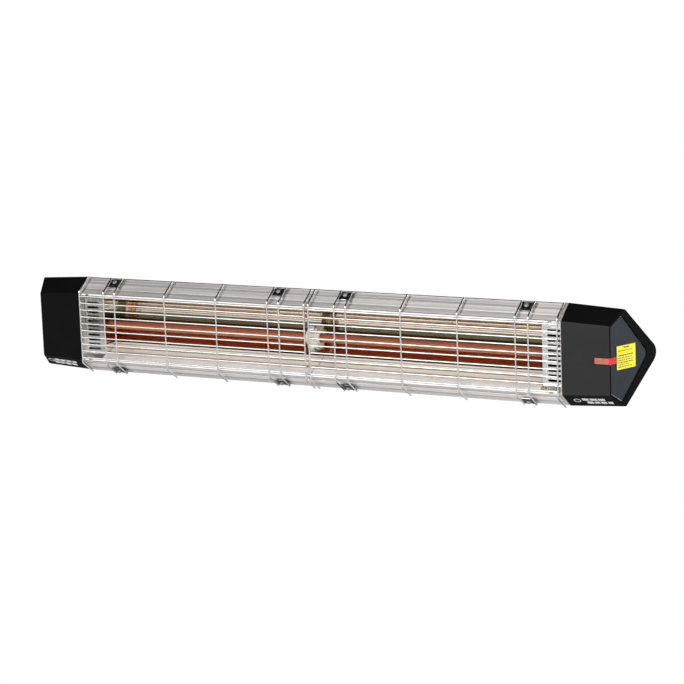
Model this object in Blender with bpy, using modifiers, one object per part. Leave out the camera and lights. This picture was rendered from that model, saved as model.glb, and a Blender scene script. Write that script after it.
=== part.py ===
"""Linear infrared heater with two lamps in line, wire guards and tilting wall brackets.

Frame: X along the heater, +Y towards the wall, +Z up. The origin lies on the wall
plane, midway between the two brackets, level with the tilt axis. Sections are drawn
as (y, z) points, with y measured from the heater's front face.
"""
import math

import bmesh
import bpy
from mathutils import Matrix, Vector

MM = 0.001
GAP = 0.3 * MM                      # clearance between neighbouring solids

# Housing section, shared by the shell, the end plates and the end caps
FRONT_HALF = 45.8 * MM              # half height of the flat front opening
CORNER_Y = 27.1 * MM                # widest edge, behind the front face
CORNER_HALF = 65.4 * MM
APEX_Y = 87.3 * MM                  # where the two rear slopes would meet
CORNER_RADIUS = 2.5 * MM
APEX_RADIUS = 17.0 * MM
SHELL_WALL = 1.6 * MM
LIP_HALF = 43.9 * MM                # folded lip behind the front edges
RIB_STEP = 0.6 * MM                 # step half way down each front slope

# Lengths along X, as distances from the middle
SHELL_END = 350.3 * MM
END_PLATE_IN = 350.6 * MM
END_PLATE_OUT = 355.3 * MM
END_PLATE_WEB = 0.8 * MM
CAP_IN = 355.6 * MM
CAP_OUT = 418.9 * MM                # end face at the front; it slants back from there
CAP_SLANT = 0.384                   # rise in X for each unit of depth
CAP_WALL = 2.5 * MM
CAP_SHRINK_Z = 0.936                # outer end of the cap against the housing section
CAP_SHRINK_Y = 0.953
CAP_SHRINK_ABOUT_Y = 25.5 * MM
PANEL_RECESS = 3.0 * MM
PANEL_THICK = 1.2 * MM
LABEL_BOX = (12.7 * MM, 45.0 * MM, -14.0 * MM, 17.0 * MM)   # depth from, depth to, bottom, top
WIRING_HOLE_RADIUS = 12.0 * MM

# Reflector trough
TROUGH_Y = 12.5 * MM                # depth of the trough's rim and of the vent plates
TROUGH_RADIUS = 38.0 * MM
FLANGE_Y = 2.4 * MM
FLANGE_HALF = 43.6 * MM
SHEET = 0.8 * MM
REFLECTOR_END = 324.4 * MM
VENT_IN = 324.8 * MM
VENT_OUT = 354.1 * MM
SLOT_COUNT = 11
SLOT_PITCH = 6.3 * MM
SLOT_HEIGHT = 2.7 * MM
SLOT_IN = 332.0 * MM
SLOT_OUT = 351.0 * MM
NOTCH_IN = 338.5 * MM               # slots in the front lip, for air
NOTCH_OUT = 344.0 * MM
NOTCH_LOW = 42.4 * MM
NOTCH_HIGH = 45.2 * MM

# Lamps
LAMP_Y = 28.0 * MM
LAMP_RADIUS = 5.3 * MM
LAMP_BORE = 4.2 * MM
LAMP_END = 330.0 * MM
HOLDER_LEFT = -14.7 * MM            # the middle holder sits a little left of centre
HOLDER_RIGHT = 4.7 * MM
MIDDLE_X = (HOLDER_LEFT + HOLDER_RIGHT) / 2.0
HOLDER_HALF = 14.0 * MM
SOCKET_DEPTH = 5.6 * MM
SOCKET_RADIUS = 5.9 * MM
FILAMENT_RADIUS = 1.0 * MM

# Guards, one for each half
WIRE_HALF = 1.05 * MM
UPRIGHT_Y = -3.1 * MM
UPRIGHT_HALF = 49.4 * MM
LEG_RISE = 16.0 * MM
LEG_DEPTH = 23.1 * MM
UPRIGHTS = [x * MM for x in (3.2, 41.1, 58.0, 136.5, 216.0, 295.5, 312.8, 351.8)]
ROW_Y = -1.2 * MM
ROW_COUNT = 10
ROW_PITCH = 9.4 * MM
CLIP_PAIRS = [UPRIGHTS[1:3], UPRIGHTS[5:7]]     # short wires join the legs of these, under the clips
CLIP_PLACES = [49.5 * MM, 304.2 * MM]
CLIP_WIDTH = 12.6 * MM
CLIP_ALONG = 20.3 * MM              # clip centre, measured down the slope from its front edge

# Tilt axis and wall brackets
PIVOT_Y = 113.0 * MM                # tilt axis behind the front face
WALL_Y = 55.0 * MM                  # wall plane behind the tilt axis
BRACKET_X = 210.0 * MM
PIVOT_RADIUS = 4.0 * MM
PIVOT_HOLE_RADIUS = 4.35 * MM
EYE_RADIUS = 12.0 * MM
LUG_HALF = 3.0 * MM
FORK_THICK = 3.0 * MM
FORK_CLEAR = 0.4 * MM
BACKPLATE_THICK = 3.0 * MM
BACKPLATE_HALF_WIDTH = 25.0 * MM
BACKPLATE_HALF_HEIGHT = 30.0 * MM
WALL_SCREW_X = 17.0 * MM
WALL_SCREW_Z = 20.0 * MM
WALL_SCREW_RADIUS = 3.3 * MM


# ---------------------------------------------------------------- scene and objects

def start_scene():
    """Empty the scene and return the collections for parts and for cutters."""
    for old in list(bpy.data.objects):
        bpy.data.objects.remove(old, do_unlink=True)
    collections = []
    for name in ("infrared_heater", "cutters"):
        collection = bpy.data.collections.new(name)
        bpy.context.scene.collection.children.link(collection)
        collections.append(collection)
    return collections


PARTS, CUTTERS = start_scene()


def make_axis(name, y):
    """Empty on a pivot line, as a parent for what turns about it."""
    axis = bpy.data.objects.new(name, None)
    axis.empty_display_size = 0.05
    axis.location = (0.0, y, 0.0)
    PARTS.objects.link(axis)
    return axis


TILT_AXIS = make_axis("tilt_axis", -WALL_Y)


def make_material(name, color, roughness, metallic):
    material = bpy.data.materials.new(name)
    material.use_nodes = True
    shader = material.node_tree.nodes["Principled BSDF"]
    shader.inputs["Base Color"].default_value = (*color, 1.0)
    shader.inputs["Roughness"].default_value = roughness
    shader.inputs["Metallic"].default_value = metallic
    return material


ALUMINIUM = make_material("anodised_aluminium", (0.62, 0.60, 0.58), 0.32, 1.0)
MIRROR = make_material("mirror_aluminium", (0.88, 0.85, 0.78), 0.08, 1.0)
STAINLESS = make_material("stainless_wire", (0.70, 0.72, 0.75), 0.22, 1.0)
ZINC = make_material("zinc_plated_steel", (0.55, 0.56, 0.58), 0.38, 1.0)
CAP_BLACK = make_material("black_moulding", (0.018, 0.018, 0.018), 0.45, 0.0)
BLACK_PLASTIC = make_material("black_plastic", (0.012, 0.012, 0.012), 0.5, 0.0)
SLATE = make_material("slate_panel", (0.040, 0.055, 0.068), 0.5, 0.0)
RUBY = make_material("ruby_quartz", (0.45, 0.10, 0.045), 0.12, 0.0)
TUNGSTEN = make_material("tungsten", (0.30, 0.28, 0.26), 0.4, 1.0)
CERAMIC = make_material("steatite_ceramic", (0.80, 0.75, 0.66), 0.6, 0.0)
LENS_RED = make_material("red_lens", (0.75, 0.02, 0.04), 0.2, 0.0)
YELLOW = make_material("yellow_label", (0.95, 0.85, 0.02), 0.45, 0.0)
CREAM = make_material("terminal_plastic", (0.75, 0.70, 0.58), 0.5, 0.0)
BRAID = make_material("glass_braid_sleeve", (0.70, 0.62, 0.48), 0.85, 0.0)


def add_object(name, mesh, material):
    """Part on the heater: its section origin is the front face, its parent the tilt axis."""
    mesh.materials.append(material)
    part = bpy.data.objects.new(name, mesh)
    part.location = (0.0, -PIVOT_Y, 0.0)
    part.parent = TILT_AXIS
    PARTS.objects.link(part)
    return part


def add_cutter(name, mesh):
    cutter = bpy.data.objects.new(name, mesh)
    cutter.location = (0.0, -PIVOT_Y, 0.0)
    cutter.parent = TILT_AXIS
    cutter.hide_render = True
    cutter.display_type = "WIRE"
    CUTTERS.objects.link(cutter)
    return cutter


def put_on_wall(part):
    """Move a part from the tilting heater to the fixed wall brackets."""
    part.parent = None
    part.location = (0.0, -PIVOT_Y - WALL_Y, 0.0)
    return part


def combine(part, tool, operation="DIFFERENCE"):
    boolean = part.modifiers.new(tool.name, "BOOLEAN")
    boolean.operation = operation
    boolean.object = tool
    return part


def smooth_by_angle(mesh, degrees=35.0):
    mesh.shade_smooth()
    mesh.set_sharp_from_angle(angle=math.radians(degrees))


# ---------------------------------------------------------------- outlines and solids

def fillet(points, radii, closed, steps):
    """Polygon points with each corner turned into an arc of the given radius."""
    count = len(points)
    result = []
    for i, (point, radius) in enumerate(zip(points, radii)):
        if radius == 0.0 or (not closed and i in (0, count - 1)):
            result.append(point)
            continue
        corner = Vector(point)
        back = (Vector(points[i - 1]) - corner).normalized()
        ahead = (Vector(points[(i + 1) % count]) - corner).normalized()
        half = back.angle(ahead) / 2.0
        centre = corner + (back + ahead).normalized() * (radius / math.sin(half))
        start = corner + back * (radius / math.tan(half)) - centre
        sweep = start.angle_signed(corner + ahead * (radius / math.tan(half)) - centre)
        for step in range(steps + 1):
            arm = start.copy()
            arm.rotate(Matrix.Rotation(-sweep * step / steps, 2))
            result.append(tuple(centre + arm))
    return result


def offset_path(points, distance, closed=False):
    """Parallel path, to the left of the direction of travel, with mitred corners."""
    count = len(points)
    result = []
    for i, point in enumerate(points):
        before = points[i - 1] if closed or i > 0 else None
        after = points[(i + 1) % count] if closed or i < count - 1 else None
        normals = []
        for start, end in ((before, point), (point, after)):
            if start is not None and end is not None:
                run = (Vector(end) - Vector(start)).normalized()
                normals.append(Vector((-run.y, run.x)))
        mitre = sum(normals, Vector((0.0, 0.0))).normalized()
        result.append(tuple(Vector(point) + mitre * (distance / mitre.dot(normals[0]))))
    return result


def mesh_of(name, bm, smooth=True):
    bmesh.ops.recalc_face_normals(bm, faces=bm.faces)
    mesh = bpy.data.meshes.new(name)
    bm.to_mesh(mesh)
    bm.free()
    if smooth:
        smooth_by_angle(mesh)
    return mesh


def add_loft(bm, rings):
    """Closed skin through rings of equal point count, capped at both ends."""
    rows = [[bm.verts.new(point) for point in ring] for ring in rings]
    count = len(rows[0])
    for near, far in zip(rows, rows[1:]):
        for i in range(count):
            j = (i + 1) % count
            bm.faces.new((near[i], near[j], far[j], far[i]))
    bm.faces.new(rows[0])
    bm.faces.new(rows[-1])


def loft(name, rings):
    bm = bmesh.new()
    add_loft(bm, rings)
    return mesh_of(name, bm)


def prisms(name, spans):
    """Solids of (outline, x_start, x_end), each outline drawn in (y, z) and run along X."""
    bm = bmesh.new()
    for outline, x_start, x_end in spans:
        add_loft(bm, [[(x, y, z) for y, z in outline] for x in (x_start, x_end)])
    return mesh_of(name, bm)


def boxes(name, spans):
    """Boxes, each given by two opposite corners."""
    bm = bmesh.new()
    for low, high in spans:
        size = Vector(high) - Vector(low)
        middle = (Vector(high) + Vector(low)) / 2.0
        matrix = Matrix.Translation(middle) @ Matrix.Diagonal((*size, 1.0))
        bmesh.ops.create_cube(bm, size=1.0, matrix=matrix)
    return mesh_of(name, bm, smooth=False)


def rods(name, spans, axis="X", segments=16):
    """Round bars of (centre, radius, length) along one axis, centred on their middles."""
    turn = {"X": Matrix.Rotation(math.pi / 2, 4, "Y"), "Y": Matrix.Rotation(math.pi / 2, 4, "X"),
            "Z": Matrix.Identity(4)}[axis]
    bm = bmesh.new()
    for centre, radius, length in spans:
        bmesh.ops.create_cone(bm, cap_ends=True, segments=segments, radius1=radius, radius2=radius,
                              depth=length, matrix=Matrix.Translation(centre) @ turn)
    return mesh_of(name, bm)


def folded_sheet(name, path, x_start, x_end, thickness, material):
    """Sheet metal: an open (y, z) path run along X, thickened to its left."""
    bm = bmesh.new()
    ends = [[bm.verts.new((x, y, z)) for y, z in path] for x in (x_start, x_end)]
    for i in range(len(path) - 1):
        bm.faces.new((ends[0][i], ends[0][i + 1], ends[1][i + 1], ends[1][i]))
    mesh = bpy.data.meshes.new(name)
    bm.to_mesh(mesh)
    bm.free()
    smooth_by_angle(mesh)
    sheet = add_object(name, mesh, material)
    solid = sheet.modifiers.new("Solidify", "SOLIDIFY")
    solid.thickness = thickness
    solid.offset = -1.0
    solid.use_even_offset = True
    return sheet


def turned(name, profile, segments, material):
    """Solid of revolution about its own Z; the profile is (radius, z), top to bottom."""
    mesh = bpy.data.meshes.new(name)
    closed = profile[0][0] > 0.0
    edges = [(i, i + 1) for i in range(len(profile) - 1)]
    if closed:
        edges.append((len(profile) - 1, 0))
    mesh.from_pydata([(radius, 0.0, z) for radius, z in profile], edges, [])
    part = add_object(name, mesh, material)
    screw = part.modifiers.new("Screw", "SCREW")
    screw.steps = segments
    screw.render_steps = segments
    screw.use_merge_vertices = True
    screw.merge_threshold = 0.00001
    return part


def place(part, x, y, z):
    """Put a part's own origin at a point given from the heater's front face."""
    part.location = (x, y - PIVOT_Y, z)
    return part


# ---------------------------------------------------------------- shared sections

def housing_outline(shrink=0.0):
    """Closed five-sided section with rounded edges, drawn inside the outer one by shrink."""
    corners = [(0.0, FRONT_HALF), (CORNER_Y, CORNER_HALF), (APEX_Y, 0.0),
               (CORNER_Y, -CORNER_HALF), (0.0, -FRONT_HALF)]
    if shrink:
        corners = offset_path(corners, -shrink, closed=True)
    edge = max(CORNER_RADIUS - shrink, 0.5 * MM)
    front = 1.0 * MM
    radii = [front, edge, APEX_RADIUS - shrink, edge, front]
    outline = []
    for i, radius in enumerate(radii):
        steps = 8 if i == 2 else 2
        before, point, after = corners[i - 1], corners[i], corners[(i + 1) % 5]
        outline += fillet([before, point, after], [0.0, radius, 0.0], False, steps)[1:-1]
    return outline


def slope_point(along, out, sign):
    """Point on a front slope: along it from the front edge, and out from its surface."""
    run = Vector((CORNER_Y, CORNER_HALF - FRONT_HALF)).normalized()
    spot = Vector((0.0, FRONT_HALF)) + run * along + Vector((-run.y, run.x)) * out
    return (spot.x, sign * spot.y)


SLOPE_LENGTH = math.hypot(CORNER_Y, CORNER_HALF - FRONT_HALF)
SLOPE_ANGLE = math.atan2(CORNER_HALF - FRONT_HALF, CORNER_Y)


def trough_path():
    """Reflector section: flange, half-round trough, flange, from top to bottom."""
    path = [(FLANGE_Y, FLANGE_HALF)]
    steps = 16
    for step in range(steps + 1):
        angle = math.pi / 2 - math.pi * step / steps
        path.append((TROUGH_Y + TROUGH_RADIUS * math.cos(angle), TROUGH_RADIUS * math.sin(angle)))
    path.append((FLANGE_Y, -FLANGE_HALF))
    return path


def side_name(side):
    return "right" if side > 0 else "left"


# ---------------------------------------------------------------- housing

def make_housing():
    """Bent aluminium shell, open at the front, with a lip and a step on each front slope."""
    half = [(0.0, LIP_HALF), (0.0, FRONT_HALF)]
    half.append(slope_point(SLOPE_LENGTH * 0.50, 0.0, 1))
    half.append(slope_point(SLOPE_LENGTH * 0.53, -RIB_STEP, 1))
    corner = [slope_point(SLOPE_LENGTH * 0.53, -RIB_STEP, 1), (CORNER_Y, CORNER_HALF), (APEX_Y, 0.0)]
    half += fillet(corner, [0.0, CORNER_RADIUS, 0.0], False, 3)[1:-1]
    apex = [(CORNER_Y, CORNER_HALF), (APEX_Y, 0.0), (CORNER_Y, -CORNER_HALF)]
    arc = fillet(apex, [0.0, APEX_RADIUS, 0.0], False, 8)[1:-1]
    mirrored = [(y, -z) for y, z in reversed(half)]
    section = half + arc + mirrored
    shell = folded_sheet("housing_shell", section, -SHELL_END, SHELL_END, -SHELL_WALL, ALUMINIUM)
    combine(shell, add_cutter("shell_screw_holes", screw_holes("shell_screw_holes")))
    combine(shell, add_cutter("shell_notches", notches("shell_notches")))
    return shell


def screw_holes(name):
    """Clearance holes for the guard clip screws, square to the front slopes."""
    bm = bmesh.new()
    for x, sign in clip_positions():
        y, z = slope_point(CLIP_ALONG, 1.0 * MM, sign)
        matrix = Matrix.Translation((x, y, z)) @ slope_turn(sign)
        bmesh.ops.create_cone(bm, cap_ends=True, segments=8, radius1=2.1 * MM, radius2=2.1 * MM,
                              depth=12.0 * MM, matrix=matrix)
    return mesh_of(name, bm)


def notches(name):
    """Small slots through the folded lip and the flange behind it, near both ends."""
    spans = []
    for side in (-1, 1):
        for sign in (-1, 1):
            low, high = sorted((side * NOTCH_IN, side * NOTCH_OUT))
            bottom, top = sorted((sign * NOTCH_LOW, sign * NOTCH_HIGH))
            spans.append(((low, -1.0 * MM, bottom), (high, 5.0 * MM, top)))
    return boxes(name, spans)


def slope_turn(sign):
    """Rotation that takes +Z to the outward normal of a front slope."""
    angle = SLOPE_ANGLE if sign > 0 else math.pi - SLOPE_ANGLE
    return Matrix.Rotation(angle, 4, "X")


def clip_positions():
    return [(side * x, sign) for side in (-1, 1) for x in CLIP_PLACES for sign in (1, -1)]


def make_end_plate(side):
    """Flanged aluminium plate that closes the shell's end, open along the front."""
    outer = [(y, z) for y, z in housing_outline() if y > 1.0 * MM]
    flange = [(0.0, LIP_HALF), (0.0, FRONT_HALF)] + outer + [(0.0, -FRONT_HALF), (0.0, -LIP_HALF)]
    name = "end_plate_" + side_name(side)
    plate = folded_sheet(name, flange, side * END_PLATE_IN, side * END_PLATE_OUT,
                         -side * SHELL_WALL, ALUMINIUM)
    web = [(y, z) for y, z in housing_outline(0.5 * MM)]
    span = [(web, side * (END_PLATE_OUT - END_PLATE_WEB), side * (END_PLATE_OUT - 0.01 * MM))]
    combine(plate, add_cutter(name + "_web", prisms(name + "_web", span)), "UNION")
    hole = rods(name + "_hole", [((side * END_PLATE_OUT, 62.0 * MM, 0.0), WIRING_HOLE_RADIUS, 10.0 * MM)])
    combine(plate, add_cutter(name + "_hole", hole))
    return plate


# ---------------------------------------------------------------- end caps

def end_x(y, inset=0.0):
    """X of the slanted end face at a depth, less an inset along X."""
    return CAP_OUT + CAP_SLANT * y - inset


def shrunk(outline):
    return [(CAP_SHRINK_ABOUT_Y + (y - CAP_SHRINK_ABOUT_Y) * CAP_SHRINK_Y, z * CAP_SHRINK_Z)
            for y, z in outline]


def panel_outline(grow):
    """Outline of the sunk end panel: narrow rim in front, wide rim at the rear."""
    corners = [(2.9 * MM, 41.2 * MM), (21.7 * MM, 54.2 * MM), (66.0 * MM, 0.0),
               (21.7 * MM, -54.2 * MM), (2.9 * MM, -41.2 * MM)]
    corners = offset_path(corners, grow, closed=True)
    radii = [1.5 * MM, 2.5 * MM, 9.0 * MM, 2.5 * MM, 1.5 * MM]
    outline = []
    for i, radius in enumerate(radii):
        steps = 6 if i == 2 else 2
        before, point, after = corners[i - 1], corners[i], corners[(i + 1) % 5]
        outline += fillet([before, point, after], [0.0, radius, 0.0], False, steps)[1:-1]
    return outline


def slanted_plate(name, outline, side, inset_low, inset_high):
    """Plate parallel to the end face, between two insets from it."""
    return loft(name, [[(side * end_x(y, inset), y, z) for y, z in outline]
                       for inset in (inset_low, inset_high)])


def lens_outline(grow):
    """Angled lens in plan (x, y): along the cap's front, round the corner, onto the end."""
    return [(399.3 * MM - grow, 0.5 * MM - 3.0 * grow), (417.6 * MM + 0.4 * grow, 0.8 * MM - 3.0 * grow),
            (419.9 * MM + 2.0 * grow, 2.0 * MM - 0.6 * grow), (423.9 * MM + 2.0 * grow, 11.0 * MM + grow),
            (419.0 * MM - 2.0 * grow, 11.0 * MM + grow), (415.8 * MM - grow, 3.6 * MM + grow),
            (399.3 * MM - grow, 3.6 * MM + grow)]


def lens_solid(name, grow):
    low = -4.3 * MM - grow
    high = 3.2 * MM + grow
    return loft(name, [[(x, y, z) for x, y in lens_outline(grow)] for z in (low, high)])


def make_end_cap(side):
    """Hollow tapered cap with a sunk panel in its slanted end face."""
    name = "end_cap_" + side_name(side)
    edge = 0.9 * MM
    outer = housing_outline()
    far = shrunk(outer)
    trimmed = shrunk(housing_outline(edge))
    rings = [[(side * CAP_IN, y, z) for y, z in outer],
             [(side * end_x(y, edge), y, z) for y, z in far],
             [(side * end_x(y), y, z) for y, z in trimmed]]
    cap = add_object(name, loft(name, rings), CAP_BLACK)

    inner = housing_outline(CAP_WALL)
    floor = PANEL_RECESS + CAP_WALL
    cavity = [[(side * (CAP_IN - 1.0 * MM), y, z) for y, z in inner],
              [(side * end_x(y, floor), y, z) for y, z in shrunk(inner)]]
    combine(cap, add_cutter(name + "_cavity", loft(name + "_cavity", cavity)))
    recess = slanted_plate(name + "_recess", panel_outline(0.0), side, PANEL_RECESS, -2.0 * MM)
    combine(cap, add_cutter(name + "_recess", recess))

    panel_name = "end_panel_" + side_name(side)
    panel_mesh = slanted_plate(panel_name, panel_outline(-GAP), side,
                               PANEL_RECESS - GAP, PANEL_RECESS - GAP - PANEL_THICK)
    panel = add_object(panel_name, panel_mesh, SLATE)
    return cap, panel


def make_right_cap_fittings(cap, panel):
    """Indicator lens and lamp, rating label, cable gland and terminal block."""
    add_object("indicator_lens", lens_solid("indicator_lens", 0.0), LENS_RED)
    window = add_cutter("lens_window", lens_solid("lens_window", 0.45 * MM))
    combine(cap, window)
    combine(panel, window)
    lamp = turned("indicator_lamp", [(0.0, 4.0 * MM), (1.4 * MM, 3.6 * MM), (2.3 * MM, 2.0 * MM),
                                     (2.3 * MM, -4.0 * MM), (0.0, -4.0 * MM)], 12, LENS_RED)
    lamp.rotation_euler = (math.pi / 2, 0.0, 0.0)
    place(lamp, 408.0 * MM, 9.0 * MM, -0.5 * MM)

    top = PANEL_RECESS - GAP - PANEL_THICK
    left, right, bottom, high = LABEL_BOX
    outline = [(left, high), (right, high), (right, bottom), (left, bottom)]
    label = slanted_plate("rating_label", outline, 1, top - GAP, top - GAP - 0.4 * MM)
    add_object("rating_label", label, YELLOW)

    make_gland(cap)
    make_terminal_block()


def make_gland(cap):
    """Cable gland square to the lower rear slope of the right cap."""
    slope = Vector((CORNER_HALF, -(APEX_Y - CORNER_Y))).normalized()
    centre = Vector((56.0 * MM, -32.4 * MM))
    angle = math.atan2(-slope.x, slope.y)
    bore = 3.6 * MM
    body = turned("cable_gland", [(bore, 13.0 * MM), (6.6 * MM, 13.0 * MM), (6.6 * MM, 5.0 * MM),
                                  (9.5 * MM, 5.0 * MM), (9.5 * MM, 1.2 * MM), (6.0 * MM, 1.2 * MM),
                                  (6.0 * MM, -7.0 * MM), (bore, -7.0 * MM)], 16, BLACK_PLASTIC)
    nut = turned("gland_nut", [(bore, 20.0 * MM), (5.4 * MM, 20.0 * MM), (8.4 * MM, 17.0 * MM),
                               (9.2 * MM, 15.0 * MM), (9.2 * MM, 5.4 * MM), (7.0 * MM, 5.4 * MM),
                               (7.0 * MM, 13.6 * MM), (bore, 13.6 * MM)], 16, BLACK_PLASTIC)
    x = 392.0 * MM
    for part in (body, nut):
        part.rotation_euler = (angle, 0.0, 0.0)
        place(part, x, centre.x, centre.y)
    matrix = Matrix.Translation((x, centre.x, centre.y)) @ Matrix.Rotation(angle, 4, "X")
    bm = bmesh.new()
    bmesh.ops.create_cone(bm, cap_ends=True, segments=16, radius1=6.4 * MM, radius2=6.4 * MM,
                          depth=24.0 * MM, matrix=matrix)
    combine(cap, add_cutter("gland_hole", mesh_of("gland_hole", bm)))


def make_terminal_block():
    """Three-pole ceramic terminal block behind the right cap's front."""
    base = ((378.0 * MM, 30.0 * MM, -15.0 * MM), (398.0 * MM, 40.0 * MM, 15.0 * MM))
    block = add_object("terminal_block", boxes("terminal_block", [base]), CREAM)
    poles = [((382.0 * MM, 39.0 * MM, z - 3.6 * MM), (394.0 * MM, 46.0 * MM, z + 3.6 * MM))
             for z in (-10.0 * MM, 0.0, 10.0 * MM)]
    combine(block, add_cutter("terminal_poles", boxes("terminal_poles", poles)), "UNION")
    wells = rods("terminal_wells", [((388.0 * MM, 44.0 * MM, z), 2.2 * MM, 8.0 * MM)
                                    for z in (-10.0 * MM, 0.0, 10.0 * MM)], "Y", 8)
    combine(block, add_cutter("terminal_wells", wells))
    return block


# ---------------------------------------------------------------- reflector and vent plates

def make_reflector(side):
    name = "reflector_" + side_name(side)
    start, end = sorted((side * GAP, side * REFLECTOR_END))
    trough = folded_sheet(name, trough_path(), start, end, SHEET, MIRROR)
    if side < 0:
        vertex = ((MIDDLE_X, TROUGH_Y + TROUGH_RADIUS, 0.0), 2.4 * MM, 8.0 * MM)
        combine(trough, add_cutter("lead_hole", rods("lead_hole", [vertex], "Y", 8)))
    return trough


def make_vent_plate(side):
    """Slotted plate over the lamp's outer end, with a half-round end wall for the trough."""
    name = "vent_plate_" + side_name(side)
    path = [(FLANGE_Y, FLANGE_HALF), (TROUGH_Y, TROUGH_RADIUS), (TROUGH_Y, -TROUGH_RADIUS),
            (FLANGE_Y, -FLANGE_HALF)]
    start, end = sorted((side * VENT_IN, side * VENT_OUT))
    plate = folded_sheet(name, path, start, end, SHEET, MIRROR)

    wall = [(TROUGH_Y + 0.3 * MM, TROUGH_RADIUS - 0.2 * MM)]
    wall += [(y, z) for y, z in trough_path()[2:-2]]
    wall += [(TROUGH_Y + 0.3 * MM, -TROUGH_RADIUS + 0.2 * MM)]
    span = [(wall, side * (VENT_IN + 0.01 * MM), side * (VENT_IN + SHEET))]
    combine(plate, add_cutter(name + "_wall", prisms(name + "_wall", span)), "UNION")
    hole = rods(name + "_lamp_hole", [((side * VENT_IN, LAMP_Y, 0.0), 7.5 * MM, 8.0 * MM)])
    combine(plate, add_cutter(name + "_lamp_hole", hole))

    slots = []
    for row in range(SLOT_COUNT):
        z = (row - (SLOT_COUNT - 1) / 2) * SLOT_PITCH
        slots.append(((side * SLOT_IN, TROUGH_Y - 3.0 * MM, z - SLOT_HEIGHT / 2),
                      (side * SLOT_OUT, TROUGH_Y + 3.0 * MM, z + SLOT_HEIGHT / 2)))
    combine(plate, add_cutter(name + "_slots", boxes(name + "_slots", slots)))
    combine(plate, add_cutter(name + "_notches", notches(name + "_notches")))
    return plate


# ---------------------------------------------------------------- lamps

def make_lamp(side):
    """Ruby quartz tube, its filament, and the ceramic base at its outer end."""
    word = side_name(side)
    inner_end = HOLDER_RIGHT - SOCKET_DEPTH + GAP if side > 0 else HOLDER_LEFT + SOCKET_DEPTH - GAP
    outer_end = side * LAMP_END
    middle = (inner_end + outer_end) / 2.0
    half = abs(outer_end - inner_end) / 2.0
    ring = [(LAMP_BORE, half), (LAMP_RADIUS, half), (LAMP_RADIUS, -half), (LAMP_BORE, -half)]
    tube = turned("lamp_tube_" + word, ring, 16, RUBY)
    tube.rotation_euler = (0.0, math.pi / 2, 0.0)
    place(tube, middle, LAMP_Y, 0.0)

    coil_length = 2.0 * half - 2.0 * MM
    name = "filament_" + word
    add_object(name, rods(name, [((middle, LAMP_Y, 0.0), FILAMENT_RADIUS, coil_length)], "X", 6), TUNGSTEN)

    base = turned("lamp_base_" + word, [(0.0, 4.0 * MM), (2.6 * MM, 4.0 * MM), (2.6 * MM, 1.6 * MM),
                                        (6.2 * MM, 1.6 * MM), (6.6 * MM, 1.0 * MM), (6.6 * MM, -4.0 * MM),
                                        (0.0, -4.0 * MM)], 16, CERAMIC)
    base.rotation_euler = (0.0, side * math.pi / 2, 0.0)
    place(base, side * (LAMP_END + GAP + 4.0 * MM), LAMP_Y, 0.0)


def make_end_holder(side):
    """Ceramic socket block for a lamp's outer end, cut out for the contact pin."""
    name = "lamp_holder_" + side_name(side)
    low, high = sorted((side * 337.0 * MM, side * 349.6 * MM))
    outline = fillet([(18.0 * MM, 11.0 * MM), (40.0 * MM, 11.0 * MM), (40.0 * MM, -11.0 * MM),
                      (18.0 * MM, -11.0 * MM)], [2.0 * MM] * 4, True, 2)
    holder = add_object(name, prisms(name, [(outline, low, high)]), CERAMIC)
    socket = rods(name + "_socket", [((side * 337.0 * MM, LAMP_Y, 0.0), 3.2 * MM, 5.6 * MM)], "X", 12)
    combine(holder, add_cutter(name + "_socket", socket))
    return holder


def make_middle_holder():
    """Two-lobed ceramic block between the lamps, its bracket and its two clips."""
    lobes = [(19.0 * MM, 4.0 * MM), (19.0 * MM, 12.0 * MM), (22.0 * MM, HOLDER_HALF),
             (38.0 * MM, HOLDER_HALF), (38.0 * MM, -HOLDER_HALF), (22.0 * MM, -HOLDER_HALF),
             (19.0 * MM, -12.0 * MM), (19.0 * MM, -4.0 * MM), (21.0 * MM, 0.0)]
    outline = fillet(lobes, [1.5 * MM, 2.5 * MM, 2.5 * MM, 1.0 * MM, 1.0 * MM, 2.5 * MM, 2.5 * MM,
                             1.5 * MM, 1.0 * MM], True, 2)
    name = "middle_lamp_holder"
    holder = add_object(name, prisms(name, [(outline, HOLDER_LEFT, HOLDER_RIGHT)]), CERAMIC)
    sockets = [((HOLDER_LEFT, LAMP_Y, 0.0), SOCKET_RADIUS, 2.0 * SOCKET_DEPTH),
               ((HOLDER_RIGHT, LAMP_Y, 0.0), SOCKET_RADIUS, 2.0 * SOCKET_DEPTH)]
    combine(holder, add_cutter("middle_sockets", rods("middle_sockets", sockets)))

    arm = HOLDER_HALF + GAP
    back = 38.3 * MM
    channel = [(26.0 * MM, arm), (back, arm), (back, -arm), (26.0 * MM, -arm)]
    bracket = folded_sheet("middle_bracket", channel, HOLDER_LEFT + 3.0 * MM, HOLDER_RIGHT - 3.0 * MM,
                           1.2 * MM, ZINC)
    foot = boxes("middle_bracket_foot", [((MIDDLE_X - 6.0 * MM, 39.0 * MM, -8.0 * MM),
                                          (MIDDLE_X + 6.0 * MM, 48.9 * MM, 8.0 * MM))])
    combine(bracket, add_cutter("middle_bracket_foot", foot), "UNION")

    for sign, word in ((1, "upper"), (-1, "lower")):
        outline = [(21.5 * MM, sign * 15.9 * MM), (36.0 * MM, sign * 15.9 * MM),
                   (36.0 * MM, sign * 17.4 * MM), (20.0 * MM, sign * 17.4 * MM),
                   (16.8 * MM, sign * 13.0 * MM), (16.8 * MM, sign * 7.0 * MM),
                   (18.3 * MM, sign * 7.0 * MM), (18.3 * MM, sign * 12.6 * MM)]
        clip = "middle_clip_" + word
        add_object(clip, prisms(clip, [(outline, MIDDLE_X - 4.0 * MM, MIDDLE_X + 4.0 * MM)]), ZINC)


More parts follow.
